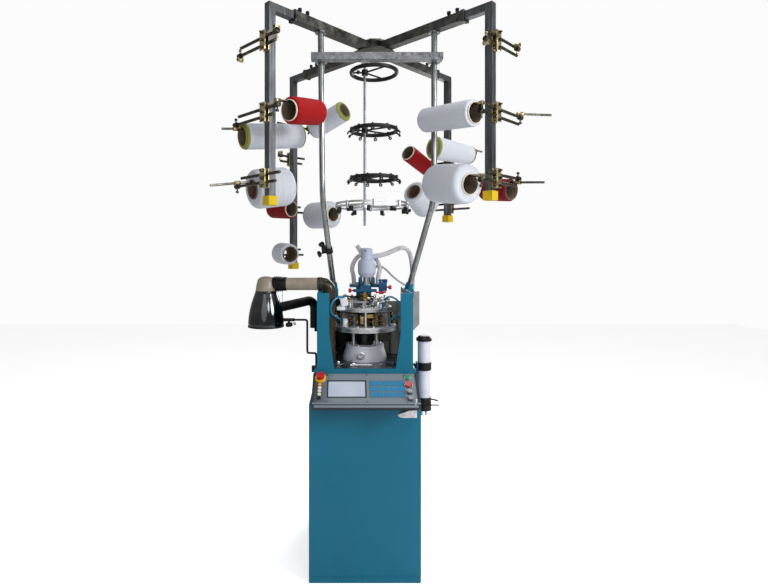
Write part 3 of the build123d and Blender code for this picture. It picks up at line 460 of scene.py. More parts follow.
redYarn = woundYarn("redYarn", linear(172, 9, 15), linear(112, 3, 8), sheen=0.05)
darkRedYarn = woundYarn("darkRedYarn", linear(140, 9, 18), linear(82, 4, 9), sheen=0.05)
brownCard = cardboard("brownCard", linear(120, 102, 84), linear(78, 64, 50))
creamCard = cardboard("creamCard", linear(225, 218, 200), linear(190, 182, 165))
limeCard = cardboard("limeCard", linear(146, 150, 74), linear(120, 124, 52))
ceramic = plastic("ceramic", linear(236, 232, 222), 0.12, 400, 0.03, Coat_Weight=0.6)

# display: a cool grey pane with a faint grid
displayGlass, displayTree, displayShader = newMaterial("displayGlass", linear(170, 184, 210), 0.16)
displayVector = objectPattern(displayTree)
displayTone = noise(displayTree, displayVector, 9, 3)
displayColour = ramp(displayTree, displayTone, [(0.3, linear(168, 178, 198)), (0.7, linear(190, 199, 214))])
displayTree.links.new(displayColour, displayShader.inputs["Base Color"])
displayGrid = addNode(displayTree, "TexWave", {"Scale": 260}, {"Vector": displayVector})
addBump(displayTree, displayShader, displayGrid.outputs["Fac"], 0.06, 0.0002)

floorPaint, floorTree, floorShader = newMaterial("floorPaint", (0.9, 0.9, 0.9), 0.6)
floorTone = noise(floorTree, objectPattern(floorTree), 2, 2)
floorTree.links.new(ramp(floorTree, floorTone, [(0.3, (0.9, 0.9, 0.9)), (0.7, (0.94, 0.94, 0.94))]),
                    floorShader.inputs["Base Color"])
floorShader.inputs["Emission Color"].default_value = (1, 1, 1, 1)
floorRay = addNode(floorTree, "LightPath", {}, {}).outputs["Is Camera Ray"]
floorGlow = addNode(floorTree, "MapRange", {"To Min": 0.1, "To Max": 0.62}, {"Value": floorRay})
floorTree.links.new(floorGlow.outputs["Result"], floorShader.inputs["Emission Strength"])
objectMode()
bpy.ops.mesh.primitive_plane_add(size=14)
floorPiece = bpy.context.object
floorPiece.name = "studioFloor"
floorPiece.data.materials.append(floorPaint)
print("materials ready")


# hoses
hoses = {
    "suctionHose": {
        "points": [(62, -50, 1326), (96, -48, 1332), (136, -38, 1350), (178, -14, 1366), (211, 18, 1352),
                   (227, 46, 1306), (233, 62, 1250), (234, 69, 1202), (234, 69, 1163.3)],
        "diameter": 21, "length": 376, "node": "suction_hose", "material": clearHose},
    "loopHose": {
        "points": [(-42, -18, 1198.3), (-42, -18, 1230), (-54, -2, 1270), (-32, 16, 1318), (12, 22, 1340),
                   (58, 16, 1318), (80, -2, 1270), (66, -18, 1230), (66, -18, 1198.3)],
        "diameter": 20, "length": 354, "node": "loop_hose", "material": clearHose},
    "leftAirTube": {
        "points": [(-70, -118, 1103.3), (-70, -118, 1132), (-96, -142, 1156), (-130, -166, 1142),
                   (-146, -176, 1108), (-136, -166, 1076), (-112, -140, 1062), (-98, -126, 1048),
                   (-98, -126, 1024.3)],
        "diameter": 8, "length": 263, "node": "air_tubes", "material": blueTube},
    "thinHose": {
        "points": [(40, 18, 1198.2), (42, 20, 1244), (62, 26, 1284), (98, 30, 1272), (136, 30, 1232),
                   (172, 30, 1204), (206, 32, 1186), (214, 32, 1163.3)],
        "diameter": 11, "length": 282, "node": None, "material": clearHose},
}
mirrored = [(2 * headX / mm - x, y, z) for x, y, z in hoses["leftAirTube"]["points"]]
hoses["rightAirTube"] = {**hoses["leftAirTube"], "points": mirrored}


def makeHose(name, values):
    line = bpy.data.curves.new(name, "CURVE")
    line.dimensions = "3D"
    run = line.splines.new("NURBS")
    run.points.add(len(values["points"]) - 1)
    for spot, point in zip(run.points, values["points"]):
        spot.co = (*(Vector(point) * mm), 1)
    run.order_u = 3
    run.use_endpoint_u = True
    run.resolution_u = 16
    line.bevel_depth = values["diameter"] * mm / 2
    line.bevel_resolution = 8
    line.use_fill_caps = True
    piece = bpy.data.objects.new(name, line)
    bpy.context.collection.objects.link(piece)
    piece.data.materials.append(values["material"])
    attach(piece, "frame")
    if values["node"]:
        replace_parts(piece, values["node"])


for hoseName, hoseValues in hoses.items():
    makeHose(hoseName, hoseValues)
print("hoses ready")


# yarn packages
creel = {"x": 54, "y": 35, "postReach": 594, "rodOffset": 26, "rodSpacing": 30, "pegLift": 14, "tubeBore": 37,
         "tubeWall": 3, "pegRadius": 5}
armHeadings = {"fl": 225, "fr": 315, "br": 45, "bl": 135}
rodLevels = {"fl": [2143, 1872, 1623], "fr": [2143, 1872, 1623], "br": [1850, 1590],
             "bl": [2020, 1848, 1575, 1340]}

# level, rod, place on it, heading, tilt, length, near radius, far radius, rounding, gap, peg lift, yarn, rim
packageTable = {
    "fl": [(1, 1, 80, 53, 9, 180, 52, 50, 14, 56, 14, redYarn, creamCard),
           (1, -1, -195, 37, 8, 285, 53, 52, 10, 22, -14, whiteYarn, limeCard),
           (2, -1, -185, 37, 9, 178, 82, 82, 26, 60, 14, whiteYarn, brownCard)],
    "fr": [(1, -1, -112, 127, 5, 262, 50, 48, 8, 22, 28, whiteYarn, creamCard),
           (2, -1, -110, 122, 7, 205, 76, 76, 24, 50, 14, whiteYarn, creamCard),
           (2, 1, 172, 127, 6, 140, 46, 45, 6, 26, -14, darkRedYarn, brownCard)],
    "br": [(0, 1, -150, 212, 3, 262, 46, 58, 8, 26, 14, whiteYarn, limeCard),
           (0, -1, 112, 223, 21, 200, 43, 44, 5, 26, -14, redYarn, creamCard),
           (1, 1, 130, 231, 24, 160, 79, 64, 10, 30, 14, whiteYarn, brownCard)],
    "bl": [(0, 1, -130, 321, 17, 240, 54, 54, 8, 28, 14, whiteYarn, limeCard),
           (2, -1, -115, 315, 0, 180, 72, 72, 16, 40, 14, whiteYarn, creamCard),
           (2, 1, 140, 318, -4, 150, 50, 50, 6, 26, 14, darkRedYarn, creamCard),
           (3, 1, 84, 304, -3, 118, 55, 54, 8, 26, 14, whiteYarn, brownCard)],
}


def packagePlace(corner, row):
    level, rod, sideways, heading, tilt, length, near, far, rounding, gap, lift = row[:11]
    arm = math.radians(armHeadings[corner])
    outward = Vector((math.cos(arm), math.sin(arm), 0))
    across = Vector((-outward.y, outward.x, 0))
    height = rodLevels[corner][level] + rod * creel["rodSpacing"] / 2 + lift
    peg = Vector((creel["x"], creel["y"], height)) + outward * (creel["postReach"]
            + creel["rodOffset"]) + across * sideways
    turn, rise = math.radians(heading), math.radians(tilt)
    along = Vector((math.cos(turn) * math.cos(rise), math.sin(turn) * math.cos(rise), math.sin(rise)))
    upward = Vector((-math.cos(turn) * math.sin(rise), -math.sin(turn) * math.sin(rise), math.cos(rise)))
    drop = creel["tubeBore"] - creel["pegRadius"] - 0.3
    mouth = peg + along * gap - upward * drop
    return aim(mouth * mm, along, up=upward)


def wrapUv(piece):
    # U once round, V along the axis, so that thread patterns follow the winding
    layer = piece.data.uv_layers.new(name="wound")
    for face in piece.data.polygons:
        middle = math.atan2(face.center.y, face.center.x)
        for corner in face.loop_indices:
            spot = piece.data.vertices[piece.data.loops[corner].vertex_index].co
            angle = math.atan2(spot.y, spot.x)
            if angle - middle > math.pi:
                angle -= 2 * math.pi
            if middle - angle > math.pi:
                angle += 2 * math.pi
            reach = math.hypot(spot.x, spot.y)
            layer.data[corner].uv = (angle / (2 * math.pi) * 3, (spot.z - reach * 0.4) * 10)


def makeYarn(length, near, far, rounding):
    # wound body: rounded shoulders, a hand-wound swell in the middle, open down the tube
    tube = creel["tubeBore"] + creel["tubeWall"] + 0.15
    low, high = 5.0, length - 5.0
    outline = [(tube, low)]
    turns = 6
    for step in range(turns + 1):
        share = step / turns * math.pi / 2
        outline.append((max(tube + 0.4, near - rounding * 0.7 * (1 - math.sin(share))),
                        low + rounding * (1 - math.cos(share))))
    for step in range(1, 8):
        share = step / 8
        swell = 0.5 * math.sin(share * math.pi)
        outline.append((near + (far - near) * share + swell, low + rounding
                        + (high - low - 2 * rounding) * share))
    for step in range(turns + 1):
        share = step / turns * math.pi / 2
        outline.append((max(tube + 0.4, far - rounding * 0.7 * (1 - math.cos(share))),
                        high - rounding * (1 - math.sin(share))))
    outline.append((tube, high))
    piece = turnedPiece(outline, 72, closed=True)
    wrapUv(piece)
    return piece


def makeTube(length):
    # cardboard core with rolled, slightly flared ends
    bore, outside = creel["tubeBore"], creel["tubeBore"] + creel["tubeWall"]
    outline = [(bore, 1), (bore + 0.8, 0), (outside - 0.6, 0), (outside, 1), (outside, 4), (outside - 0.3, 5),
               (outside - 0.3, length - 5), (outside, length - 4), (outside, length - 1),
               (outside - 0.6, length), (bore + 0.8, length), (bore, length - 1)]
    return turnedPiece(outline, 64, closed=True)


for corner, rows in packageTable.items():
    for number, row in enumerate(rows, start=1):
        place = packagePlace(corner, row)
        length, near, far, rounding = row[5:9]
        yarn = applyPlace(makeYarn(length, near, far, rounding), place)
        finishPiece(yarn, "yarn_" + corner + "_" + str(number), "arm_" + corner, row[11], 50)
        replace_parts(yarn, "yarn_packages_" + corner)
        tube = applyPlace(makeTube(length), place)
        finishPiece(tube, "tube_" + corner + "_" + str(number), "arm_" + corner, brownCard, 50)
        rim = turnedPiece([(37.2, -0.6), (39.9, -0.6), (40.6, 0.6), (40.8, 4.5), (40.1, 4.6), (40.05, 0.2),
                           (37.2, 0.1)], 64, closed=True)
        other = copyPiece(rim, aim((0, 0, length * mm), (0, 0, -1)))
        rims = applyPlace(joined([rim, other]), place)
        finishPiece(rims, "rims_" + corner + "_" + str(number), "arm_" + corner, row[12], 50)
        if row[12] == limeCard:
            ends = []
            for radius, start, way in ((near, 0, 1), (far, length, -1)):
                end = turnedPiece([(40.9, 3.6), (45, 2.8), (radius - 3.5, 4.2), (radius - 0.8, 8),
                                   (radius + 0.3, 13), (radius - 1.5, 13.4), (44, 5.2)], 64, closed=True)
                ends.append(applyPlace(end, aim((0, 0, start * mm), (0, 0, way))))
            ends = applyPlace(joined(ends), place)
            finishPiece(ends, "ends_" + corner + "_" + str(number), "arm_" + corner, limeCard, 50)
print("yarn packages ready")


# finishes on the CAD nodes

def paintNode(node, base, *extras):
    # extras are (material, test on a face's centre in metres), the first that holds wins
    piece = nodeObjects[node]
    mesh = piece.data
    mesh.materials.clear()
    mesh.materials.append(base)
    for material, test in extras:
        mesh.materials.append(material)
    for face in mesh.polygons:
        face.material_index = 0
        for index, (material, test) in enumerate(extras, start=1):
            if test(face.center):
                face.material_index = index
                break


slope = math.radians(33.2)
panelOrigin = Vector((0, -0.260, 0.851))
panelDown = Vector((0, -math.cos(slope), -math.sin(slope)))
panelNormal = Vector((0, -math.sin(slope), math.cos(slope)))


def panelPlace(x, down, height=0.0):
    spot = panelOrigin + Vector((x * mm, 0, 0)) + panelDown * down * mm + panelNormal * height * mm
    turn = Matrix((Vector((1, 0, 0)), -panelDown, panelNormal)).transposed().to_4x4()
    return Matrix.Translation(spot) @ turn


def onPanel(spot):
    offset = Vector(spot) - panelOrigin
    return offset.x / mm, offset.dot(panelDown) / mm, offset.dot(panelNormal) / mm


def isKey(spot):
    return onPanel(spot)[2] > 0.25


def isLamp(spot):
    x, down, height = onPanel(spot)
    return x < -170 and down > 51


def isLampTop(spot):
    return isLamp(spot) and onPanel(spot)[2] > 1.2 and onPanel(spot)[1] < 120


def isFirstLamp(spot):
    return isLampTop(spot) and onPanel(spot)[1] < 68


def isYellowCollar(spot):
    x, down, height = onPanel(spot)
    return x < -150 and down <= 51


def footTest(corner):
    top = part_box("creel_arm_" + corner)[0][2] + 36.2 * mm
    return lambda spot: spot.z < top


for material, nodes in (
        (cabinetPaint, "base_frame cabinet_shell front_cover rear_door head_front_plate head_side_plates"),
        (machinedSteel, "bed_plate"),
        (consoleDark, "console_housing"),
        (displayGlass, "display_screen"),
        (redPlastic, "estop_button stop_button"),
        (greenPlastic, "start_button"),
        (whiteCasting, "base_housing"),
        (plateAluminium, "cam_plate top_plate"),
        (polishedSteel, "yarn_fingers dial"),
        (satinAluminium, "drive_pulley motor_pulley sensor_ring"),
        (bracketPaint, "dial_bracket"),
        (motorPaint, "drive_motor"),
        (ductRubber, "drive_belt air_duct"),
        (smokedBox, "valve_box"),
        (uprightSteel, "creel_uprights"),
        (galvanised, "crossbar guide_rod"),
        (oilBlack, "hood_support"),
):
    for node in nodes.split():
        paintNode(node, material)
# console face paint with a painted shade that darkens it towards its left end, where the light falls off
facePaint = consolePaint.copy()
facePaint.name = "consoleFaceWithPaintedShade"
faceTree = facePaint.node_tree
faceShader = faceTree.nodes["Principled BSDF"]
faceTone = faceShader.inputs["Base Color"].links[0].from_socket
split = addNode(faceTree, "SeparateXYZ", {}, {"Vector": objectPattern(faceTree)})
# painted shade: strongest at the face's left end, gone by x = -0.12
paintedLeftShade = addNode(faceTree, "MapRange", {"From Min": -0.205, "From Max": -0.12, "To Min": 0.9, "To Max": 0.0},
               {"Value": split.outputs["X"]})
shadedFaceMix = addNode(faceTree, "Mix", {"B": (*linear(44, 48, 54), 1)}, {"Factor": paintedLeftShade.outputs["Result"],
        "A": faceTone}, data_type="RGBA")
faceTree.links.new(shadedFaceMix.outputs["Result"], faceShader.inputs["Base Color"])
paintNode("console_face", facePaint)
paintNode("keypad", keyPad, (keyCyan, isKey))
paintNode("button_collars", satinAluminium, (amberLens, isFirstLamp), (lampLens, isLampTop),
          (blackPlastic, isLamp), (yellowPlastic, isYellowCollar))
for knob in ("mode_knob", "speed_knob"):
    paintNode(knob, machinedSteel, (blackPlastic, lambda spot: onPanel(spot)[2] < 5))
paintNode("cam_sections", brassMetal, (oilBlack, lambda spot: math.sin(3 * math.atan2(spot.y - headY,
        spot.x - headX)) > 0))
paintNode("needle_selectors", satinAluminium, (brassMetal, lambda spot: math.hypot(spot.x - headX,
        spot.y - headY) > 0.110))
paintNode("needle_cylinder", polishedSteel, (oilBlack, lambda spot: spot.z < 1.003))
paintNode("suction_cap", capEnamel, (polishedSteel, lambda spot: spot.z < 1.2312),
          (clearHose, lambda spot: spot.x < -0.0115 and spot.z > 1.31))
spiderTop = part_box("creel_arm_fl")[1][2] + 0.004
paintNode("creel_spider", rawSteel, (blackPlastic, lambda spot: spot.z > spiderTop + 0.0005
                                     and math.hypot(spot.x - 0.054, spot.y - 0.035) > 0.2))
for number in (1, 2, 3):
    paintNode("guide_ring_" + str(number), ringBlack)
paintNode("exhaust_tube", smokedTube, (blackPlastic, lambda spot: spot.x < -0.3325),
          (smokedDark, lambda spot: spot.x > -0.196))
paintNode("oil_reservoir", bottleWhite, (satinAluminium, lambda spot: spot.z < 0.6595),
          (blackPlastic, lambda spot: spot.z > 0.9595 or math.hypot(spot.x - 0.260, spot.y + 0.120) > 0.0272))
for corner in armHeadings:
    paintNode("creel_arm_" + corner, postSteel, (yellowPaint, footTest(corner)))
print("CAD nodes finished")


# package holders
rodSpans = {
    "fl": [((-150, 75), (-165, 60)), ((-165, 80), (-195, 45)), ((-145, 85), (-185, 60))],
    "fr": [((-60, 165), (-75, 150)), ((-60, 190), (-112, 165)), ((-60, 172), (-110, 145))],
    "br": [((-150, 80), (-60, 112)), ((-60, 130), (-110, 90))],
    "bl": [((-130, 80), (-60, 80)), ((-90, 70), (-70, 60)), ((-60, 140), (-115, 60)), ((-60, 84), (-80, 60))],
}
freeStubs = {("fl", 1): 45, ("fl", 2): 100, ("fr", 2): 100, ("br", 0): 40}
emptyPegs = {"fr": [(1, 1, 190, 180, 2, 14, 110)]}
spareFittings = {"fl": [(0, 1, 75), (0, -1, -165)], "fr": [(0, -1, -75), (0, 1, 165)], "br": [],
                 "bl": [(1, 1, 70)]}
holder = {"rod": 6.0, "peg": 5.0, "sleeve": 10.5, "clampWide": 34, "clampTall": 74, "boltRise": 29}


def straightRod(start, end, radius):
    start, end = Vector(start), Vector(end)
    length = (end - start).length
    rod = turnedPiece([(radius * 0.82, 0), (radius, 0.9 * mm), (radius, length - 0.9 * mm),
                       (radius * 0.82, length)], 24, unit=1)
    return applyPlace(rod, aim(start, end - start))


def cornerWays(corner):
    arm = math.radians(armHeadings[corner])
    outward = Vector((math.cos(arm), math.sin(arm), 0))
    return outward, Vector((-outward.y, outward.x, 0))


def rodSpot(corner, level, rod, sideways, lift=0.0):
    outward, across = cornerWays(corner)
    height = rodLevels[corner][level] + rod * creel["rodSpacing"] / 2 + lift
    hub = Vector((creel["x"], creel["y"], height))
    return (hub + outward * (creel["postReach"] + creel["rodOffset"]) + across * sideways) * mm


def makeFitting(corner, level, rod, sideways, lift, pegWay):
    # a sleeve on the rod, a cross sleeve for the peg, a web between, and a thumb screw
    outward, across = cornerWays(corner)
    centre = rodSpot(corner, level, rod, sideways)
    parts = []
    sleeve = turnedPiece([(6.05, -11), (9.4, -11), (holder["sleeve"], -9.5), (holder["sleeve"], 9.5),
                          (9.4, 11), (6.05, 11)], 24, closed=True)
    parts.append(applyPlace(sleeve, aim(centre, across)))
    cross = turnedPiece([(5.05, -12), (8, -12), (9, -10.5), (9, 10.5), (8, 12), (5.05, 12)],
                        6 if lift > 14 else 24, closed=True)
    parts.append(applyPlace(cross, aim(centre + Vector((0, 0, lift * mm)), pegWay)))
    web = bevelledBox((11, 15, abs(lift) + 2), 2, 2)
    web = applyPlace(web, aim(centre + Vector((0, 0, lift * mm / 2)), (0, 0, 1), up=across))
    side = -1 if lift > 0 else 1
    screw = turnedPiece([(3.2, 0), (3.2, 9), (6.5, 10), (6.5, 16), (5, 17.5)], 12)
    screw = applyPlace(screw, aim(centre + Vector((0, 0, side * 9 * mm)), (0, 0, side)))
    return parts, [web], [screw]


def makeClamp(corner, level):
    outward, across = cornerWays(corner)
    middle = Vector((creel["x"], creel["y"], rodLevels[corner][level])) * mm
    plates, bolts = [], []
    for near, far in ((15.2, 19.8), (32.3, 37.5)):
        plate = bevelledBox((holder["clampWide"], far - near, holder["clampTall"]), 1.2, 2)
        spot = middle + outward * (creel["postReach"] + (near + far) / 2) * mm
        turn = Matrix((across, outward, Vector((0, 0, 1)))).transposed().to_4x4()
        plates.append(applyPlace(plate, Matrix.Translation(spot) @ turn))
    for rise in (-holder["boltRise"], 0, holder["boltRise"]):
        spot = middle + outward * (creel["postReach"] + 37.5) * mm + Vector((0, 0, rise * mm))
        bolts.append(applyPlace(hexNut(6.4 * mm, 5.5 * mm), aim(spot, outward)))
        bolts.append(straightRod(spot - outward * 18 * mm, spot + outward * 12 * mm, 3.4 * mm))
    return plates, bolts


for corner in armHeadings:
    rods, pegs, dark, zinc = [], [], [], []
    for level, (upper, lower) in enumerate(rodSpans[corner]):
        plates, bolts = makeClamp(corner, level)
        zinc += plates
        dark += bolts
        for rod, (low, high) in ((1, upper), (-1, lower)):
            rods.append(straightRod(rodSpot(corner, level, rod, low - 10),
                                    rodSpot(corner, level, rod, high + 10), holder["rod"] * mm))
    pegRows = [(row[0], row[1], row[2], row[3], row[4], row[10], freeStubs.get((corner, number), 0),
                row[9] + 0.7 * row[5]) for number, row in enumerate(packageTable[corner])]
    pegRows += [(*row, 16) for row in emptyPegs.get(corner, [])]
    for level, rod, sideways, heading, tilt, lift, stub, inside in pegRows:
        turn, rise = math.radians(heading), math.radians(tilt)
        along = Vector((math.cos(turn) * math.cos(rise), math.sin(turn) * math.cos(rise), math.sin(rise)))
        centre = rodSpot(corner, level, rod, sideways, lift)
        pegs.append(straightRod(centre - along * (16 + stub) * mm, centre + along * inside * mm,
                                holder["peg"] * mm))
        parts, webs, screws = makeFitting(corner, level, rod, sideways, lift, along)
        zinc += parts[1:]
        dark += parts[:1] + webs + screws
    for level, rod, sideways in spareFittings[corner]:
        parts, webs, screws = makeFitting(corner, level, rod, sideways, rod * 14, cornerWays(corner)[0])
        zinc += parts[1:] + screws
        dark += parts[:1] + webs
    for pieces, name, material in ((rods, "holder_rods_", oliveSteel), (pegs, "holder_pegs_", pegSteel),
                                   (dark, "holder_fittings_", oliveSteel),
                                   (zinc, "holder_clamps_", yellowZinc)):
        piece = finishPiece(joined(pieces), name + corner, "arm_" + corner, material)
        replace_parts(piece, "cone_holders_" + corner)
print("holders ready")


# console details
console = {"displayBox": (-146, -1, 42, 120), "padBox": (17, 151, 41, 123), "bezel": 5.0, "rise": 1.6,
           "faceHalf": 205, "slopeLength": 155}


def framePiece(x0, x1, down0, down1, width, rise):
    # a bevelled frame round a window: plane, inset, hole, lift
    objectMode()
    bpy.ops.mesh.primitive_plane_add(size=1)
    piece = bpy.context.object
    piece.scale = ((x1 - x0 + 2 * width) * mm, (down1 - down0 + 2 * width) * mm, 1)
    applyPlace(piece)
    bpy.ops.object.mode_set(mode="EDIT")
    bpy.ops.mesh.select_mode(type="FACE")
    bpy.ops.mesh.select_all(action="SELECT")
    bpy.ops.mesh.inset(thickness=width * mm)
    bpy.ops.mesh.delete(type="FACE")
    bpy.ops.mesh.select_all(action="SELECT")
    bpy.ops.mesh.extrude_region_move(TRANSFORM_OT_translate={"value": (0, 0, rise * mm)})
    bpy.ops.mesh.select_all(action="SELECT")
    bpy.ops.mesh.normals_make_consistent(inside=False)
    objectMode()
    bevel = piece.modifiers.new("edge", "BEVEL")
    bevel.width = 0.5 * mm
    bevel.segments = 2
    pick(piece)
    bpy.ops.object.modifier_apply(modifier="edge")
    return applyPlace(piece, panelPlace((x0 + x1) / 2, (down0 + down1) / 2, 0.02))


finishPiece(framePiece(*console["displayBox"], console["bezel"], console["rise"]), "display_bezel", "frame",
            consoleDark)
finishPiece(framePiece(*console["padBox"], 3.0, 0.9), "keypad_border", "frame", keyPad)

for side, sign in (("left", -1), ("right", 1)):
    trim = bevelledBox((10, 152, 2.4), 0.9, 3)
    applyPlace(trim, panelPlace(sign * 204.5, 77, 1.2))
    finishPiece(trim, "console_trim_" + side, "frame", consoleDark)
lip = bevelledBox((414, 7, 5), 1.6, 3)
finishPiece(applyPlace(lip, panelPlace(0, 153, 1.0)), "console_lip", "frame", consolePaint)
lipFace = bevelledBox((400, 2.4, 9), 0.8, 2)
finishPiece(applyPlace(lipFace, at(0, -0.3905, 0.757)), "console_front_edge", "frame",
            consolePaint)


screwMaster = socketScrew(2.6 * mm, 1.8 * mm)
screws = []
for x in (-152, 6, 158):
    for down in (9, 146):
        screws.append(copyPiece(screwMaster, panelPlace(x, down, 0)))
finishPiece(joined(screws), "console_screws", "frame", consoleDark)
bpy.data.objects.remove(screwMaster)

# rough casting under the console's right corner, thick at the right and drawn out to a nose at the left
casting = {"right": 194, "left": 124, "high": 741, "low": 712, "y": -372, "deep": 34}
objectMode()
bpy.ops.mesh.primitive_cube_add(size=1)
nose = bpy.context.object
nose.scale = (26 * mm, casting["deep"] * mm, (casting["high"] - casting["low"]) * mm)
nose.location = ((casting["right"] - 13) * mm, casting["y"] * mm, (casting["high"] + casting["low"]) / 2 * mm)
applyPlace(nose)
for step, (shift, narrow, lift) in enumerate(((-16, 0.86, -3), (-18, 0.72, -4), (-12, 0.5, -1))):
    edge = min(vertex.co.x for vertex in nose.data.vertices) + 0.001
    selectFaces(nose, lambda centre, normal: centre.x < edge and normal.x < -0.5)
    bpy.ops.mesh.extrude_region_move(TRANSFORM_OT_translate={"value": (shift * mm, 0, lift * mm)})
    bpy.ops.transform.resize(value=(1, narrow, narrow), center_override=(0, casting["y"] * mm,
            casting["low"] * mm + 0.008))
    objectMode()
rounding = nose.modifiers.new("rounding", "BEVEL")
rounding.width = 3 * mm
rounding.segments = 3
pick(nose)
bpy.ops.object.modifier_apply(modifier="rounding")
lever = bentRod([Vector(point) * mm for point in ((182, -372, 738), (186, -384, 752), (190, -391, 768),
        (192, -386, 784))], 3.2 * mm)
finishPiece(joined([nose, lever]), "corner_casting", "frame", plateAluminium, 60)
print("console details ready")


# cabinet details
coverScrew = socketScrew(4.2 * mm, 2.4 * mm)
screws = []
for sign in (-1, 1):
    for y in (-200, 0, 200):
        for z in (70, 690):
            screws.append(copyPiece(coverScrew, aim((sign * 0.2281, y * mm, z * mm), (sign, 0, 0))))
finishPiece(joined(screws), "cover_screws", "frame", cabinetPaint)

louvres = []
for side, sign in (("left", -1), ("right", 1)):
    for row in range(9):
        louvre = bevelledBox((4.0, 150, 6), 1.8, 3)
        louvres.append(applyPlace(louvre, at(sign * 0.2278, 0.06, (460 + 16 * row) * mm)))
finishPiece(joined(louvres), "side_louvres", "frame", cabinetPaint)

lock = turnedPiece([(11, 0), (11, 3), (9, 5), (4, 5), (3.6, 3.5)], 28)
finishPiece(applyPlace(lock, aim((0.17, 0.2606, 0.52), (0, 1, 0))), "door_lock", "door",
            polishedSteel)

print("cabinet details ready")


# knitting head details

def headSpot(radius, degrees, z):
    turn = math.radians(degrees)
    return Vector((headX + radius * mm * math.cos(turn), headY + radius * mm * math.sin(turn), z * mm))


plateScrew = socketScrew(4.0 * mm, 4.0 * mm)
screws = []
for step in range(12):
    screws.append(copyPiece(plateScrew, Matrix.Translation(headSpot(131, 15 + 30 * step, 1024.1))))
for step in range(12):
    if abs(15 + 30 * step - 225) > 20 and abs(15 + 30 * step - 315) > 8:
        screws.append(copyPiece(plateScrew, Matrix.Translation(headSpot(109, 15 + 30 * step, 1103.1))))
for step in range(8):
    screws.append(copyPiece(plateScrew, Matrix.Translation(headSpot(78, 22 + 45 * step, 934.1))))
finishPiece(joined(screws), "head_screws", "frame", polishedSteel)

# knurled rims of the two plates
for name, radius, low, high in (("cam_plate_rim", 140, 1006, 1018), ("top_plate_rim", 118, 1091, 1099)):
    rim = turnedPiece([(radius, low), (radius + 1.6, low + 1.5), (radius + 1.6, high - 1.5), (radius, high)],
                      120, closed=True)
    applyPlace(rim, at(headX, headY, 0))
    finishPiece(rim, name, "frame", satinAluminium, 30)

# needle selector solenoids with brass air fittings, outside each selector block
selectorAngles = (200, 240, 300, 340, 20, 160)
coils, fittings = [], []
for angle in selectorAngles:
    for row in range(2):
        base = headSpot(118.5, angle, 1040 + 24 * row)
        outward = (math.cos(math.radians(angle)), math.sin(math.radians(angle)), 0)
        coil = bevelledBox((16, 17, 12), 1.5, 3)
        coils.append(applyPlace(coil, aim(base, outward) @ at(0, 0, 5.5 * mm)))
        fitting = turnedPiece([(5.5, 0), (5.5, 3), (4, 3.4), (4, 6), (5, 6.4), (5, 9), (2.6, 9), (2.6, 5)],
                              20)
        fittings.append(applyPlace(fitting, aim(base, outward) @ at(0, 0, 11.5 * mm)))
finishPiece(joined(coils), "selector_coils", "frame", blackPlastic)
finishPiece(joined(fittings), "selector_fittings", "frame", brassMetal)

# screws and slots on the cam ring, seen between the plates
camScrews = []
camScrew = socketScrew(3.2 * mm, 2.6 * mm)
for step in range(12):
    for z in (1042, 1066):
        angle = 15 + 30 * step
        outward = (math.cos(math.radians(angle)), math.sin(math.radians(angle)), 0)
        camScrews.append(copyPiece(camScrew, aim(headSpot(76, angle, z), outward)))
finishPiece(joined(camScrews), "cam_screws", "frame", brassMetal)

# yarn feeders on the top plate: bent rods that end in ceramic eyes over the needles
feederAngles = (10, 45, 80, 120, 150, 180, 290, 325)
feederRods, feederEyes, feederNuts = [], [], []
for index, angle in enumerate(feederAngles):
    lift = 26 + 7 * (index % 3)
    start = headSpot(100, angle, 1103)
    points = [start, headSpot(100, angle, 1103 + lift), headSpot(96, angle + 3, 1112 + lift),
              headSpot(78, angle + 6, 1116 + lift), headSpot(64, angle + 8, 1104 + lift * 0.5)]
    feederRods.append(bentRod(points, 1.7 * mm))
    tip, before = points[-1], points[-2]
    objectMode()
    bpy.ops.mesh.primitive_torus_add(major_radius=4 * mm, minor_radius=1.5 * mm, major_segments=20,
                                     minor_segments=8)
    eye = bpy.context.object
    feederEyes.append(applyPlace(eye, aim(tip, tip - before)))
    feederNuts.append(applyPlace(hexNut(5 * mm, 5 * mm), Matrix.Translation(start)))
finishPiece(joined(feederRods), "feeder_rods", "frame", polishedSteel)
finishPiece(joined(feederEyes), "feeder_eyes", "frame", ceramic)
finishPiece(joined(feederNuts), "feeder_nuts", "frame", brassMetal)

# stack of collars between the dial and the bracket
stack = turnedPiece([(9, 1132), (24, 1132), (24, 1138), (14, 1141), (14, 1150), (19, 1152), (19, 1160),
                     (9, 1161)], 40, closed=True)
applyPlace(stack, at(headX, headY, 0))
finishPiece(stack, "dial_collar", "dial", brassMetal)
dialScrews = [copyPiece(camScrew, Matrix.Translation(headSpot(34, 60 * step, 1129.1))) for step in range(6)]
finishPiece(joined(dialScrews), "dial_screws", "dial", oilBlack)

# bright steel collar at the foot of the cap and blue lugs beside it
footNut = turnedPiece([(17.3, 0), (25, 0), (25, 6), (21, 8), (21, 14), (17.3, 15)], 36, closed=True)
finishPiece(applyPlace(footNut, at(0.015, headY, 1.1982)), "cap_collar", "frame", polishedSteel)
lugs = []
for x, y, z, height in ((-11, -66, 1198, 34), (41, -66, 1198, 34), (-16, -34, 1198, 32), (46, -34, 1198, 32)):
    lug = bevelledBox((12, 14, height), 2, 3)
    lugs.append(applyPlace(lug, at(x * mm, y * mm, (z + height / 2 + 0.1) * mm)))
finishPiece(joined(lugs), "cap_lugs", "frame", bracketPaint)

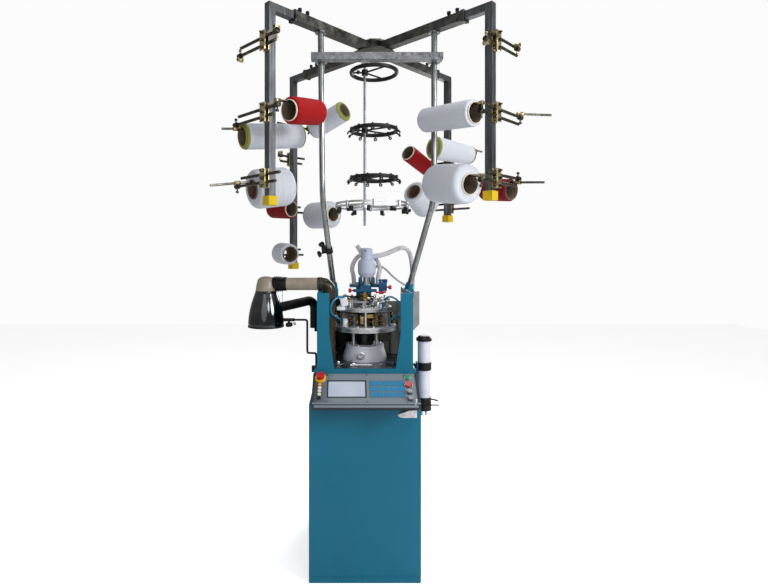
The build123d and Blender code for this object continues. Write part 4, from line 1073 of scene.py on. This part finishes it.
# blue valve, its fittings, and red knobs at both ends of the manifold
valveParts = []
for size, place in (((36, 26, 38), (84, -79, 1191)), ((20, 18, 16), (78, -79, 1166)),
                    ((14, 14, 16), (98, -79, 1216))):
    part = bevelledBox(size, 2.5, 3)
    valveParts.append(applyPlace(part, Matrix.Translation([value * mm for value in place])))
for x in (74, 86):
    stem = turnedPiece([(5, 0), (5, 6), (7.5, 7), (7.5, 12), (5, 14)], 20)
    valveParts.append(applyPlace(stem, at(x * mm, -0.079, 1.2095)))
finishPiece(joined(valveParts), "air_valve", "frame", blueValve)
redKnobs = []
for x, y, z, way in ((-46, -86, 1174, -1), (102, -79, 1188, 1)):
    knob = turnedPiece([(4, 0), (4, 7), (8, 8), (9.5, 11), (9.5, 19), (8, 21), (3, 21.5)], 24)
    redKnobs.append(applyPlace(knob, aim((x * mm, y * mm, z * mm), (way, 0, 0))))
finishPiece(joined(redKnobs), "manifold_knobs", "frame", redPlastic)
manifold = bevelledBox((104, 14, 14), 2, 3)
applyPlace(manifold, at(0.006, -0.086, 1.174))
finishPiece(manifold, "air_manifold", "frame", bracketPaint)
pinkTube = straightRod(Vector((0.052, -0.097, 1.166)), Vector((0.098, -0.097, 1.168)), 4 * mm)
finishPiece(pinkTube, "manifold_tube", "frame", redPlastic)
neckScrew = applyPlace(socketScrew(3.4 * mm, 2.4 * mm), aim((0.008, -0.0749, 1.349), (-0.25, -1, 0)))
finishPiece(neckScrew, "cap_screw", "frame", oilBlack)

# dark screens and casings that close the back of the working window
rearScreens = {"screenDarkLeft": (-182, 64, 871, 1136, 84, screenDark),
               "screenGreyRight": (66, 182, 871, 1112, 82, screenGrey)}
for name, (x0, x1, z0, z1, y, material) in rearScreens.items():
    screen = bevelledBox((x1 - x0, 2, z1 - z0), 0.7, 2)
    applyPlace(screen, at((x0 + x1) / 2 * mm, y * mm, (z0 + z1) / 2 * mm))
    finishPiece(screen, name, "frame", material)
casings, lightCasings = [], []
for x, y, z, size, light in ((-150, 44, 905, (46, 60, 68), 0), (-96, 58, 930, (44, 40, 116), 0),
                             (-166, 20, 1015, (26, 90, 60), 0), (-60, 64, 900, (24, 30, 56), 0),
                             (150, 48, 930, (44, 56, 116), 1), (104, 62, 900, (36, 34, 56), 1),
                             (168, 10, 1010, (20, 70, 50), 1), (120, 60, 990, (50, 26, 44), 0)):
    casing = bevelledBox(size, 4, 3)
    applyPlace(casing, at(x * mm, y * mm, z * mm))
    (lightCasings if light else casings).append(casing)
finishPiece(joined(casings), "rear_casings_dark", "frame", screenDark)
finishPiece(joined(lightCasings), "rear_casings_grey", "frame", screenGrey)

# levers, air cylinders and posts that crowd the top plate
levers, cylinders, cylinderTops = [], [], []
leverMaster = bevelledBox((46, 6.5, 3.5), 1.2, 2)
upMaster = bevelledBox((7, 7, 20), 1.5, 2)
for step in range(14):
    angle = 12 + 25.7 * step
    if abs(angle - 252) < 14 or abs(angle - 90) < 20:
        continue
    place = Matrix.Translation(headSpot(82, angle, 1122
                                        + 5 * (step % 3))) @ Matrix.Rotation(math.radians(angle), 4, "Z")
    levers.append(copyPiece(leverMaster, place))
    levers.append(copyPiece(upMaster, place @ at(0.016, 0, -0.009)))
bpy.data.objects.remove(leverMaster)
bpy.data.objects.remove(upMaster)
for angle in (30, 62, 122, 146, 206, 232, 300, 336):
    cylinder = turnedPiece([(7.5, 1103.2), (7.5, 1128), (6, 1130), (3, 1130.4)], 24)
    cylinders.append(applyPlace(cylinder, Matrix.Translation(headSpot(106, angle, 0))))
    top = turnedPiece([(2.6, 1130), (2.6, 1140), (4.6, 1141), (4.6, 1146)], 16)
    cylinderTops.append(applyPlace(top, Matrix.Translation(headSpot(106, angle, 0))))
finishPiece(joined(levers), "finger_levers", "frame", machinedSteel)
finishPiece(joined(cylinders), "air_cylinders", "frame", satinAluminium)
finishPiece(joined(cylinderTops), "air_cylinder_tips", "frame", brassMetal)

# white nylon post, brass bushes and block in front of the cams
nylon = turnedPiece([(12.5, 1024.2), (12.5, 1054), (10, 1058), (4, 1058.5)], 36)
finishPiece(applyPlace(nylon, at(-0.080, -0.140, 0)), "nylon_post", "frame", whiteEnamel)
bushes = []
for x, y, z, big in ((80, -120, 1039, 8.5), (44, -139, 1040, 8), (60, -128, 1062, 6), (-34, -132, 1044, 7)):
    objectMode()
    bpy.ops.mesh.primitive_torus_add(major_radius=big * mm, minor_radius=3 * mm, major_segments=28,
                                     minor_segments=10)
    bushes.append(applyPlace(bpy.context.object, aim((x * mm, y * mm, z * mm), (0.3, -1, 0))))
for x, y, z, size in ((26, -139, 1068, (30, 12, 16)), (-8, -140, 1050, (16, 10, 34)),
                      (-52, -124, 1066, (22, 10, 12))):
    block = bevelledBox(size, 2, 3)
    bushes.append(applyPlace(block, at(x * mm, y * mm, z * mm)))
finishPiece(joined(bushes), "brass_guides", "frame", brassMetal)
# white sensor head and bright guard arms at the front left of the top plate
sensorBody = bevelledBox((32, 20, 38), 4, 4)
applyPlace(sensorBody, at(-0.086, -0.128, 1.129) @ Matrix.Rotation(math.radians(-12), 4, "Y"))
sensorFoot = bevelledBox((36, 22, 16), 3, 3)
applyPlace(sensorFoot, at(-0.100, -0.126, 1.1))
sensorBody = joined([sensorBody, sensorFoot])
finishPiece(sensorBody, "stop_sensor", "frame", whiteEnamel)
guardArms = []
for start, turnBy in ((150, 24), (30, -24), (200, 30), (330, -26)):
    points = [headSpot(112, start, 1103), headSpot(118, start, 1122), headSpot(122, start + turnBy / 2, 1134),
              headSpot(112, start + turnBy, 1128), headSpot(96, start + turnBy * 1.2, 1120)]
    guardArms.append(bentRod(points, 3.0 * mm))
finishPiece(joined(guardArms), "guard_arms", "frame", polishedSteel)

# port flange on the white housing, and bright tools lying on the bed
flange = turnedPiece([(10, 0), (17, 0), (17, 3), (14.5, 4.5), (10, 4.5)], 32, closed=True)
finishPiece(applyPlace(flange, aim((headX - 0.020, -0.1502, 0.900), (0, -1, 0))), "port_flange", "frame",
            satinAluminium)
bedRods = []
for points in ([(-112, -220, 876), (-80, -196, 877), (-52, -168, 880)],
               [(124, -206, 876), (104, -186, 877), (86, -166, 880)],
               [(-60, -222, 876), (-20, -216, 877), (30, -222, 876)],
               [(-76, -222, 876), (-60, -204, 877), (-44, -196, 877)]):
    bedRods.append(bentRod([Vector(point) * mm for point in points], 5 * mm))
finishPiece(joined(bedRods), "bed_rods", "frame", polishedSteel)
stopScrews = []
for x, y in ((-112, -150), (124, -150), (-104, 60), (112, 60), (-60, -200), (70, -205)):
    stopScrews.append(applyPlace(hexNut(8 * mm, 7 * mm), at(x * mm, y * mm, 0.8702)))
finishPiece(joined(stopScrews), "bed_bolts", "frame", polishedSteel)
print("head details ready")


# guide rings
ringCentre = (0.038, -0.235)
ringLevels = {1: 2080, 2: 1843, 3: 1646}


def ringEyes(level, count, reach, drop):
    # hooks under a ring: a stem, a loop and a black bush
    stems, bushes = [], []
    for step in range(count):
        angle = math.radians(360 / count * step + 12)
        way = Vector((math.cos(angle), math.sin(angle), 0))
        base = Vector((ringCentre[0], ringCentre[1], level * mm)) + way * reach * mm
        stems.append(bentRod([base - way * 5 * mm + Vector((0, 0, -5 * mm)),
                              base + way * 6 * mm + Vector((0, 0, -9 * mm)),
                              base + way * 12 * mm + Vector((0, 0, -drop * mm))], 3.2 * mm))
        tip = base + way * 14 * mm + Vector((0, 0, -(drop + 3) * mm))
        objectMode()
        bpy.ops.mesh.primitive_torus_add(major_radius=5.4 * mm, minor_radius=2.8 * mm, major_segments=18,
                minor_segments=8)
        bushes.append(applyPlace(bpy.context.object, aim(tip, way + Vector((0, 0, 0.5)))))
        lug = bevelledBox((10, 8, 13), 1.5, 2)
        stems.append(applyPlace(lug, Matrix.Translation(base + Vector((0, 0,
                4 * mm))) @ Matrix.Rotation(angle, 4, "Z")))
    return stems, bushes


for number, level in ringLevels.items():
    rideOn = "ring_" + str(number)
    objectMode()
    bpy.ops.mesh.primitive_torus_add(major_radius=93 * mm, minor_radius=8.2 * mm, major_segments=72,
                                     minor_segments=14)
    tyre = applyPlace(bpy.context.object, at(ringCentre[0], ringCentre[1], level * mm))
    finishPiece(tyre, "ring_tyre_" + str(number), rideOn, ringBlack)
    if number > 1:
        stems, bushes = ringEyes(level, 10 if number == 2 else 12, 95, 11)
        finishPiece(joined(stems), "ring_hooks_" + str(number), rideOn, ringBlack)
        finishPiece(joined(bushes), "ring_eyes_" + str(number), rideOn, ringBlack)
    knob = turnedPiece([(3, 0), (3, 10), (7, 11), (8, 14), (8, 20), (5, 22)], 20)
    applyPlace(knob, aim((-0.0122, -0.235, level * mm), (-1, -0.4, 0)))
    finishPiece(knob, "ring_knob_" + str(number), rideOn, blackPlastic)

# black clamps with wing knobs round the bright sensor ring
clampPieces = []
for angle in (200, 232, 262, 300, 335, 20, 70, 120, 165):
    turn = math.radians(angle)
    way = Vector((math.cos(turn), math.sin(turn), 0))
    base = Vector((0.031, -0.235, 1.522)) + way * 0.143
    body = bevelledBox((15, 15, 20), 2.5, 3)
    clampPieces.append(applyPlace(body, Matrix.Translation(base + Vector((0, 0,
            -8 * mm))) @ Matrix.Rotation(turn, 4, "Z")))
    knob = turnedPiece([(3, 0), (3, 6), (7, 7), (7, 14), (4, 16)], 16)
    clampPieces.append(applyPlace(knob, aim(base + way * 7 * mm + Vector((0, 0, -9 * mm)),
            way + Vector((0, 0, -0.4)))))
finishPiece(joined(clampPieces), "sensor_clamps", "frame", blackPlastic)
print("rings ready")


# creel details
hubTop = spiderTop + 8 * mm
hubBolts = []
for step in range(8):
    turn = math.radians(22.5 + 45 * step)
    bolt = hexNut(7 * mm, 6 * mm)
    hubBolts.append(applyPlace(bolt, at(0.054 + 0.05 * math.cos(turn), 0.035 + 0.05 * math.sin(turn),
                                        hubTop)))
hubBolts.append(applyPlace(hexNut(16 * mm, 7 * mm), at(0.054, 0.035, hubTop + 9.8 * mm)))
finishPiece(joined(hubBolts), "hub_bolts", "frame", rawSteel)

sleeves = []
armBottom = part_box("creel_arm_fl")[1][2] - 34 * mm
for corner, heading in armHeadings.items():
    turn = math.radians(heading)
    place = at(0.054, 0.035, armBottom + 19 * mm) @ Matrix.Rotation(turn, 4, "Z")
    sleeve = bevelledBox((14, 44, 44), 1.5, 2)
    selectFaces(sleeve, lambda centre, normal: abs(normal.x) > 0.9)
    bpy.ops.mesh.inset(thickness=3.0 * mm, use_individual=True)
    bpy.ops.mesh.delete(type="FACE")
    objectMode()
    pick(sleeve)
    bpy.ops.object.mode_set(mode="EDIT")
    bpy.ops.mesh.select_mode(type="EDGE")
    bpy.ops.mesh.select_all(action="DESELECT")
    bpy.ops.mesh.select_non_manifold()
    bpy.ops.mesh.bridge_edge_loops()
    bpy.ops.mesh.select_all(action="SELECT")
    bpy.ops.mesh.normals_make_consistent(inside=False)
    objectMode()
    sleeves.append(applyPlace(sleeve, place @ at(0.481, 0, 0)))
finishPiece(joined(sleeves), "arm_end_sleeves", "frame", rawSteel)

# black clamp with two knobs on the left upright
leftLow, leftBend = Vector((-0.133, -0.020, 1.177)), Vector((-0.175, -0.190, 1.565))
clampAt = leftLow.lerp(leftBend, 0.45)
lean = (leftBend - leftLow).normalized()
clampBody = turnedPiece([(12.7, -13), (15.5, -13), (17, -11), (17, 11), (15.5, 13), (12.7, 13)], 28,
                        closed=True)
applyPlace(clampBody, aim(clampAt, lean))
ear = bevelledBox((28, 20, 32), 4, 3)
applyPlace(ear, aim(clampAt + Vector((-0.022, 0, 0.004)), lean))
knobOne = turnedPiece([(4, 0), (4, 8), (12, 10), (14, 14), (14, 22), (9, 25)], 8)
knobTwo = copyPiece(knobOne, aim(clampAt + Vector((-0.026, -0.006, -0.012)), (-1, -0.1, -0.35)))
applyPlace(knobOne, aim(clampAt + Vector((-0.024, -0.004, 0.012)), (-0.5, -0.3, 0.8)))
finishPiece(joined([clampBody, ear, knobOne, knobTwo]), "upright_clamp", "frame", blackPlastic)
print("creel details ready")


# side units
hood = {"x": -0.422, "y": -0.130}
outside = [(74.5, 1022), (76, 1026), (76, 1042), (74.6, 1062), (71.6, 1084), (67, 1106), (61, 1128),
           (54.5, 1148), (48.5, 1165), (45, 1177)]
domeOut = [(45, 1177), (42.6, 1192), (40.6, 1206), (38, 1216), (35, 1225), (28, 1232), (19, 1236.5),
           (9, 1238.3), (0.4, 1238.8)]
inside = [(radius - 2, height) for radius, height in reversed(outside)]
domeIn = [(max(0.3, radius - 2), height - 1.6) for radius, height in reversed(domeOut)]
lowerHood = turnedPiece([(radius, height) for radius, height in outside + inside], 96, closed=True)
applyPlace(lowerHood, at(hood["x"], hood["y"], 0))
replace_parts(finishPiece(lowerHood, "hood_shell", "frame", hoodSteel, 80), "sock_hood")
dome = turnedPiece([(radius, height) for radius, height in domeOut + domeIn], 96, closed=True)
applyPlace(dome, at(hood["x"], hood["y"], 0))
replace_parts(finishPiece(dome, "hood_dome", "frame", smokedTube, 80), "sock_hood")
skirt = turnedPiece([(73.3, 1021.5), (76.4, 1021.5), (77.6, 1023), (77.6, 1027), (76.8, 1028.5),
                     (73.3, 1028.5)], 96, closed=True)
applyPlace(skirt, at(hood["x"], hood["y"], 0))
finishPiece(skirt, "hood_rim", "frame", blackPlastic)
ribs = []
for x, radius in ((-389, 30), (-381, 33), (-373, 34), (-364, 33.5), (-355, 32.5), (-346, 31), (-338, 29.5)):
    rib = turnedPiece([(26, -2.8), (radius - 2, -2.8), (radius, -1), (radius, 1), (radius - 2, 2.8),
                       (26, 2.8)], 48, closed=True)
    ribs.append(applyPlace(rib, aim((x * mm, -0.130, 1.206), (1, 0, 0.12))))
finishPiece(joined(ribs), "hood_elbow_ribs", "frame", blackPlastic)
wire = bentRod([Vector((-0.352, -0.130, 1.178)), Vector((-0.352, -0.134, 1.160)),
                Vector((-0.3515, -0.134, 1.140)), Vector((-0.352, -0.130, 1.120))], 0.9 * mm)
finishPiece(wire, "hood_wire", "frame", oilBlack)
tubeBands = []
for x, radius in ((-197, 31), (-190, 31.5), (-183, 31)):
    band = turnedPiece([(26.6, -2.4), (radius - 1.5, -2.4), (radius, 0), (radius - 1.5, 2.4), (26.6, 2.4)],
                       48, closed=True)
    tubeBands.append(applyPlace(band, aim((x * mm, -0.130, 1.206), (1, 0, 0))))
finishPiece(joined(tubeBands), "exhaust_bands", "frame", blackPlastic)
supportRoute = [(-205, 836), (-205, 880), (-205, 900), (-206, 911), (-218, 912), (-232, 912), (-242, 913),
                (-243, 926), (-243, 960), (-243, 1020), (-243, 1042), (-244, 1053), (-258, 1054),
                (-290, 1054), (-346, 1054)]
supportRod = bentRod([Vector((x, -150, z)) * mm for x, z in supportRoute], 4.5 * mm)
supportFoot = bevelledBox((20, 22, 26), 2, 3)
applyPlace(supportFoot, at(-0.214, -0.150, 0.845))
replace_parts(finishPiece(joined([supportRod, supportFoot]), "support_rod", "frame", oilBlack),
            "hood_support")
supportArm = bevelledBox((52, 16, 13), 3, 3)
applyPlace(supportArm, at(-0.322, -0.150, 1.054))
supportKnob = turnedPiece([(5, 0), (5, 6), (13, 8), (15, 11), (15, 22), (10, 25)], 9)
applyPlace(supportKnob, aim((-0.322, -0.150, 1.049), (0.1, 0, -1)))
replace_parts(finishPiece(joined([supportArm, supportKnob]), "support_clamp", "frame",
                        blackPlastic), "hood_support")
supportScrew = applyPlace(socketScrew(5 * mm, 12 * mm), aim((-0.299, -0.152, 1.043), (0.4, 0, -1)))
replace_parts(finishPiece(supportScrew, "support_screw", "frame", satinAluminium),
            "hood_support")

bottle = {"x": 0.260, "y": -0.120}
capRings = []
for z in (964, 967, 970):
    ring = turnedPiece([(32.8, -0.8), (34.0, -0.8), (34.0, 0.8), (32.8, 0.8)], 48, closed=True)
    capRings.append(applyPlace(ring, at(bottle["x"], bottle["y"], z * mm)))
finishPiece(joined(capRings), "bottle_cap_grip", "frame", blackPlastic)
for low, high, name in ((662, 700, "bottle_foot_sleeve"), (835, 868, "bottle_middle_sleeve")):
    sleeve = turnedPiece([(27.6, low), (31.6, low), (31.6, high), (27.6, high)], 48, closed=True)
    applyPlace(sleeve, at(bottle["x"], bottle["y"], 0))
    finishPiece(sleeve, name, "frame", blackPlastic)
bracket = bevelledBox((7, 34, 184), 1.5, 2)
applyPlace(bracket, at(0.2295, -0.120, 0.776))
finishPiece(bracket, "bottle_bracket", "frame", bracketPaint)
tapLever = straightRod(Vector((0.262, -0.150, 0.690)), Vector((0.3205, -0.152, 0.690)), 2.8 * mm)
finishPiece(tapLever, "tap_lever", "frame", blackPlastic)
valveBolts = []
for y in (30, 100, 160):
    for z in (1030, 1140):
        valveBolts.append(copyPiece(coverScrew, aim((0.2582, y * mm, z * mm), (1, 0, 0))))
finishPiece(joined(valveBolts), "valve_box_screws", "frame", polishedSteel)

for spare in (plateScrew, camScrew, coverScrew):
    bpy.data.objects.remove(spare)
print("side units ready")
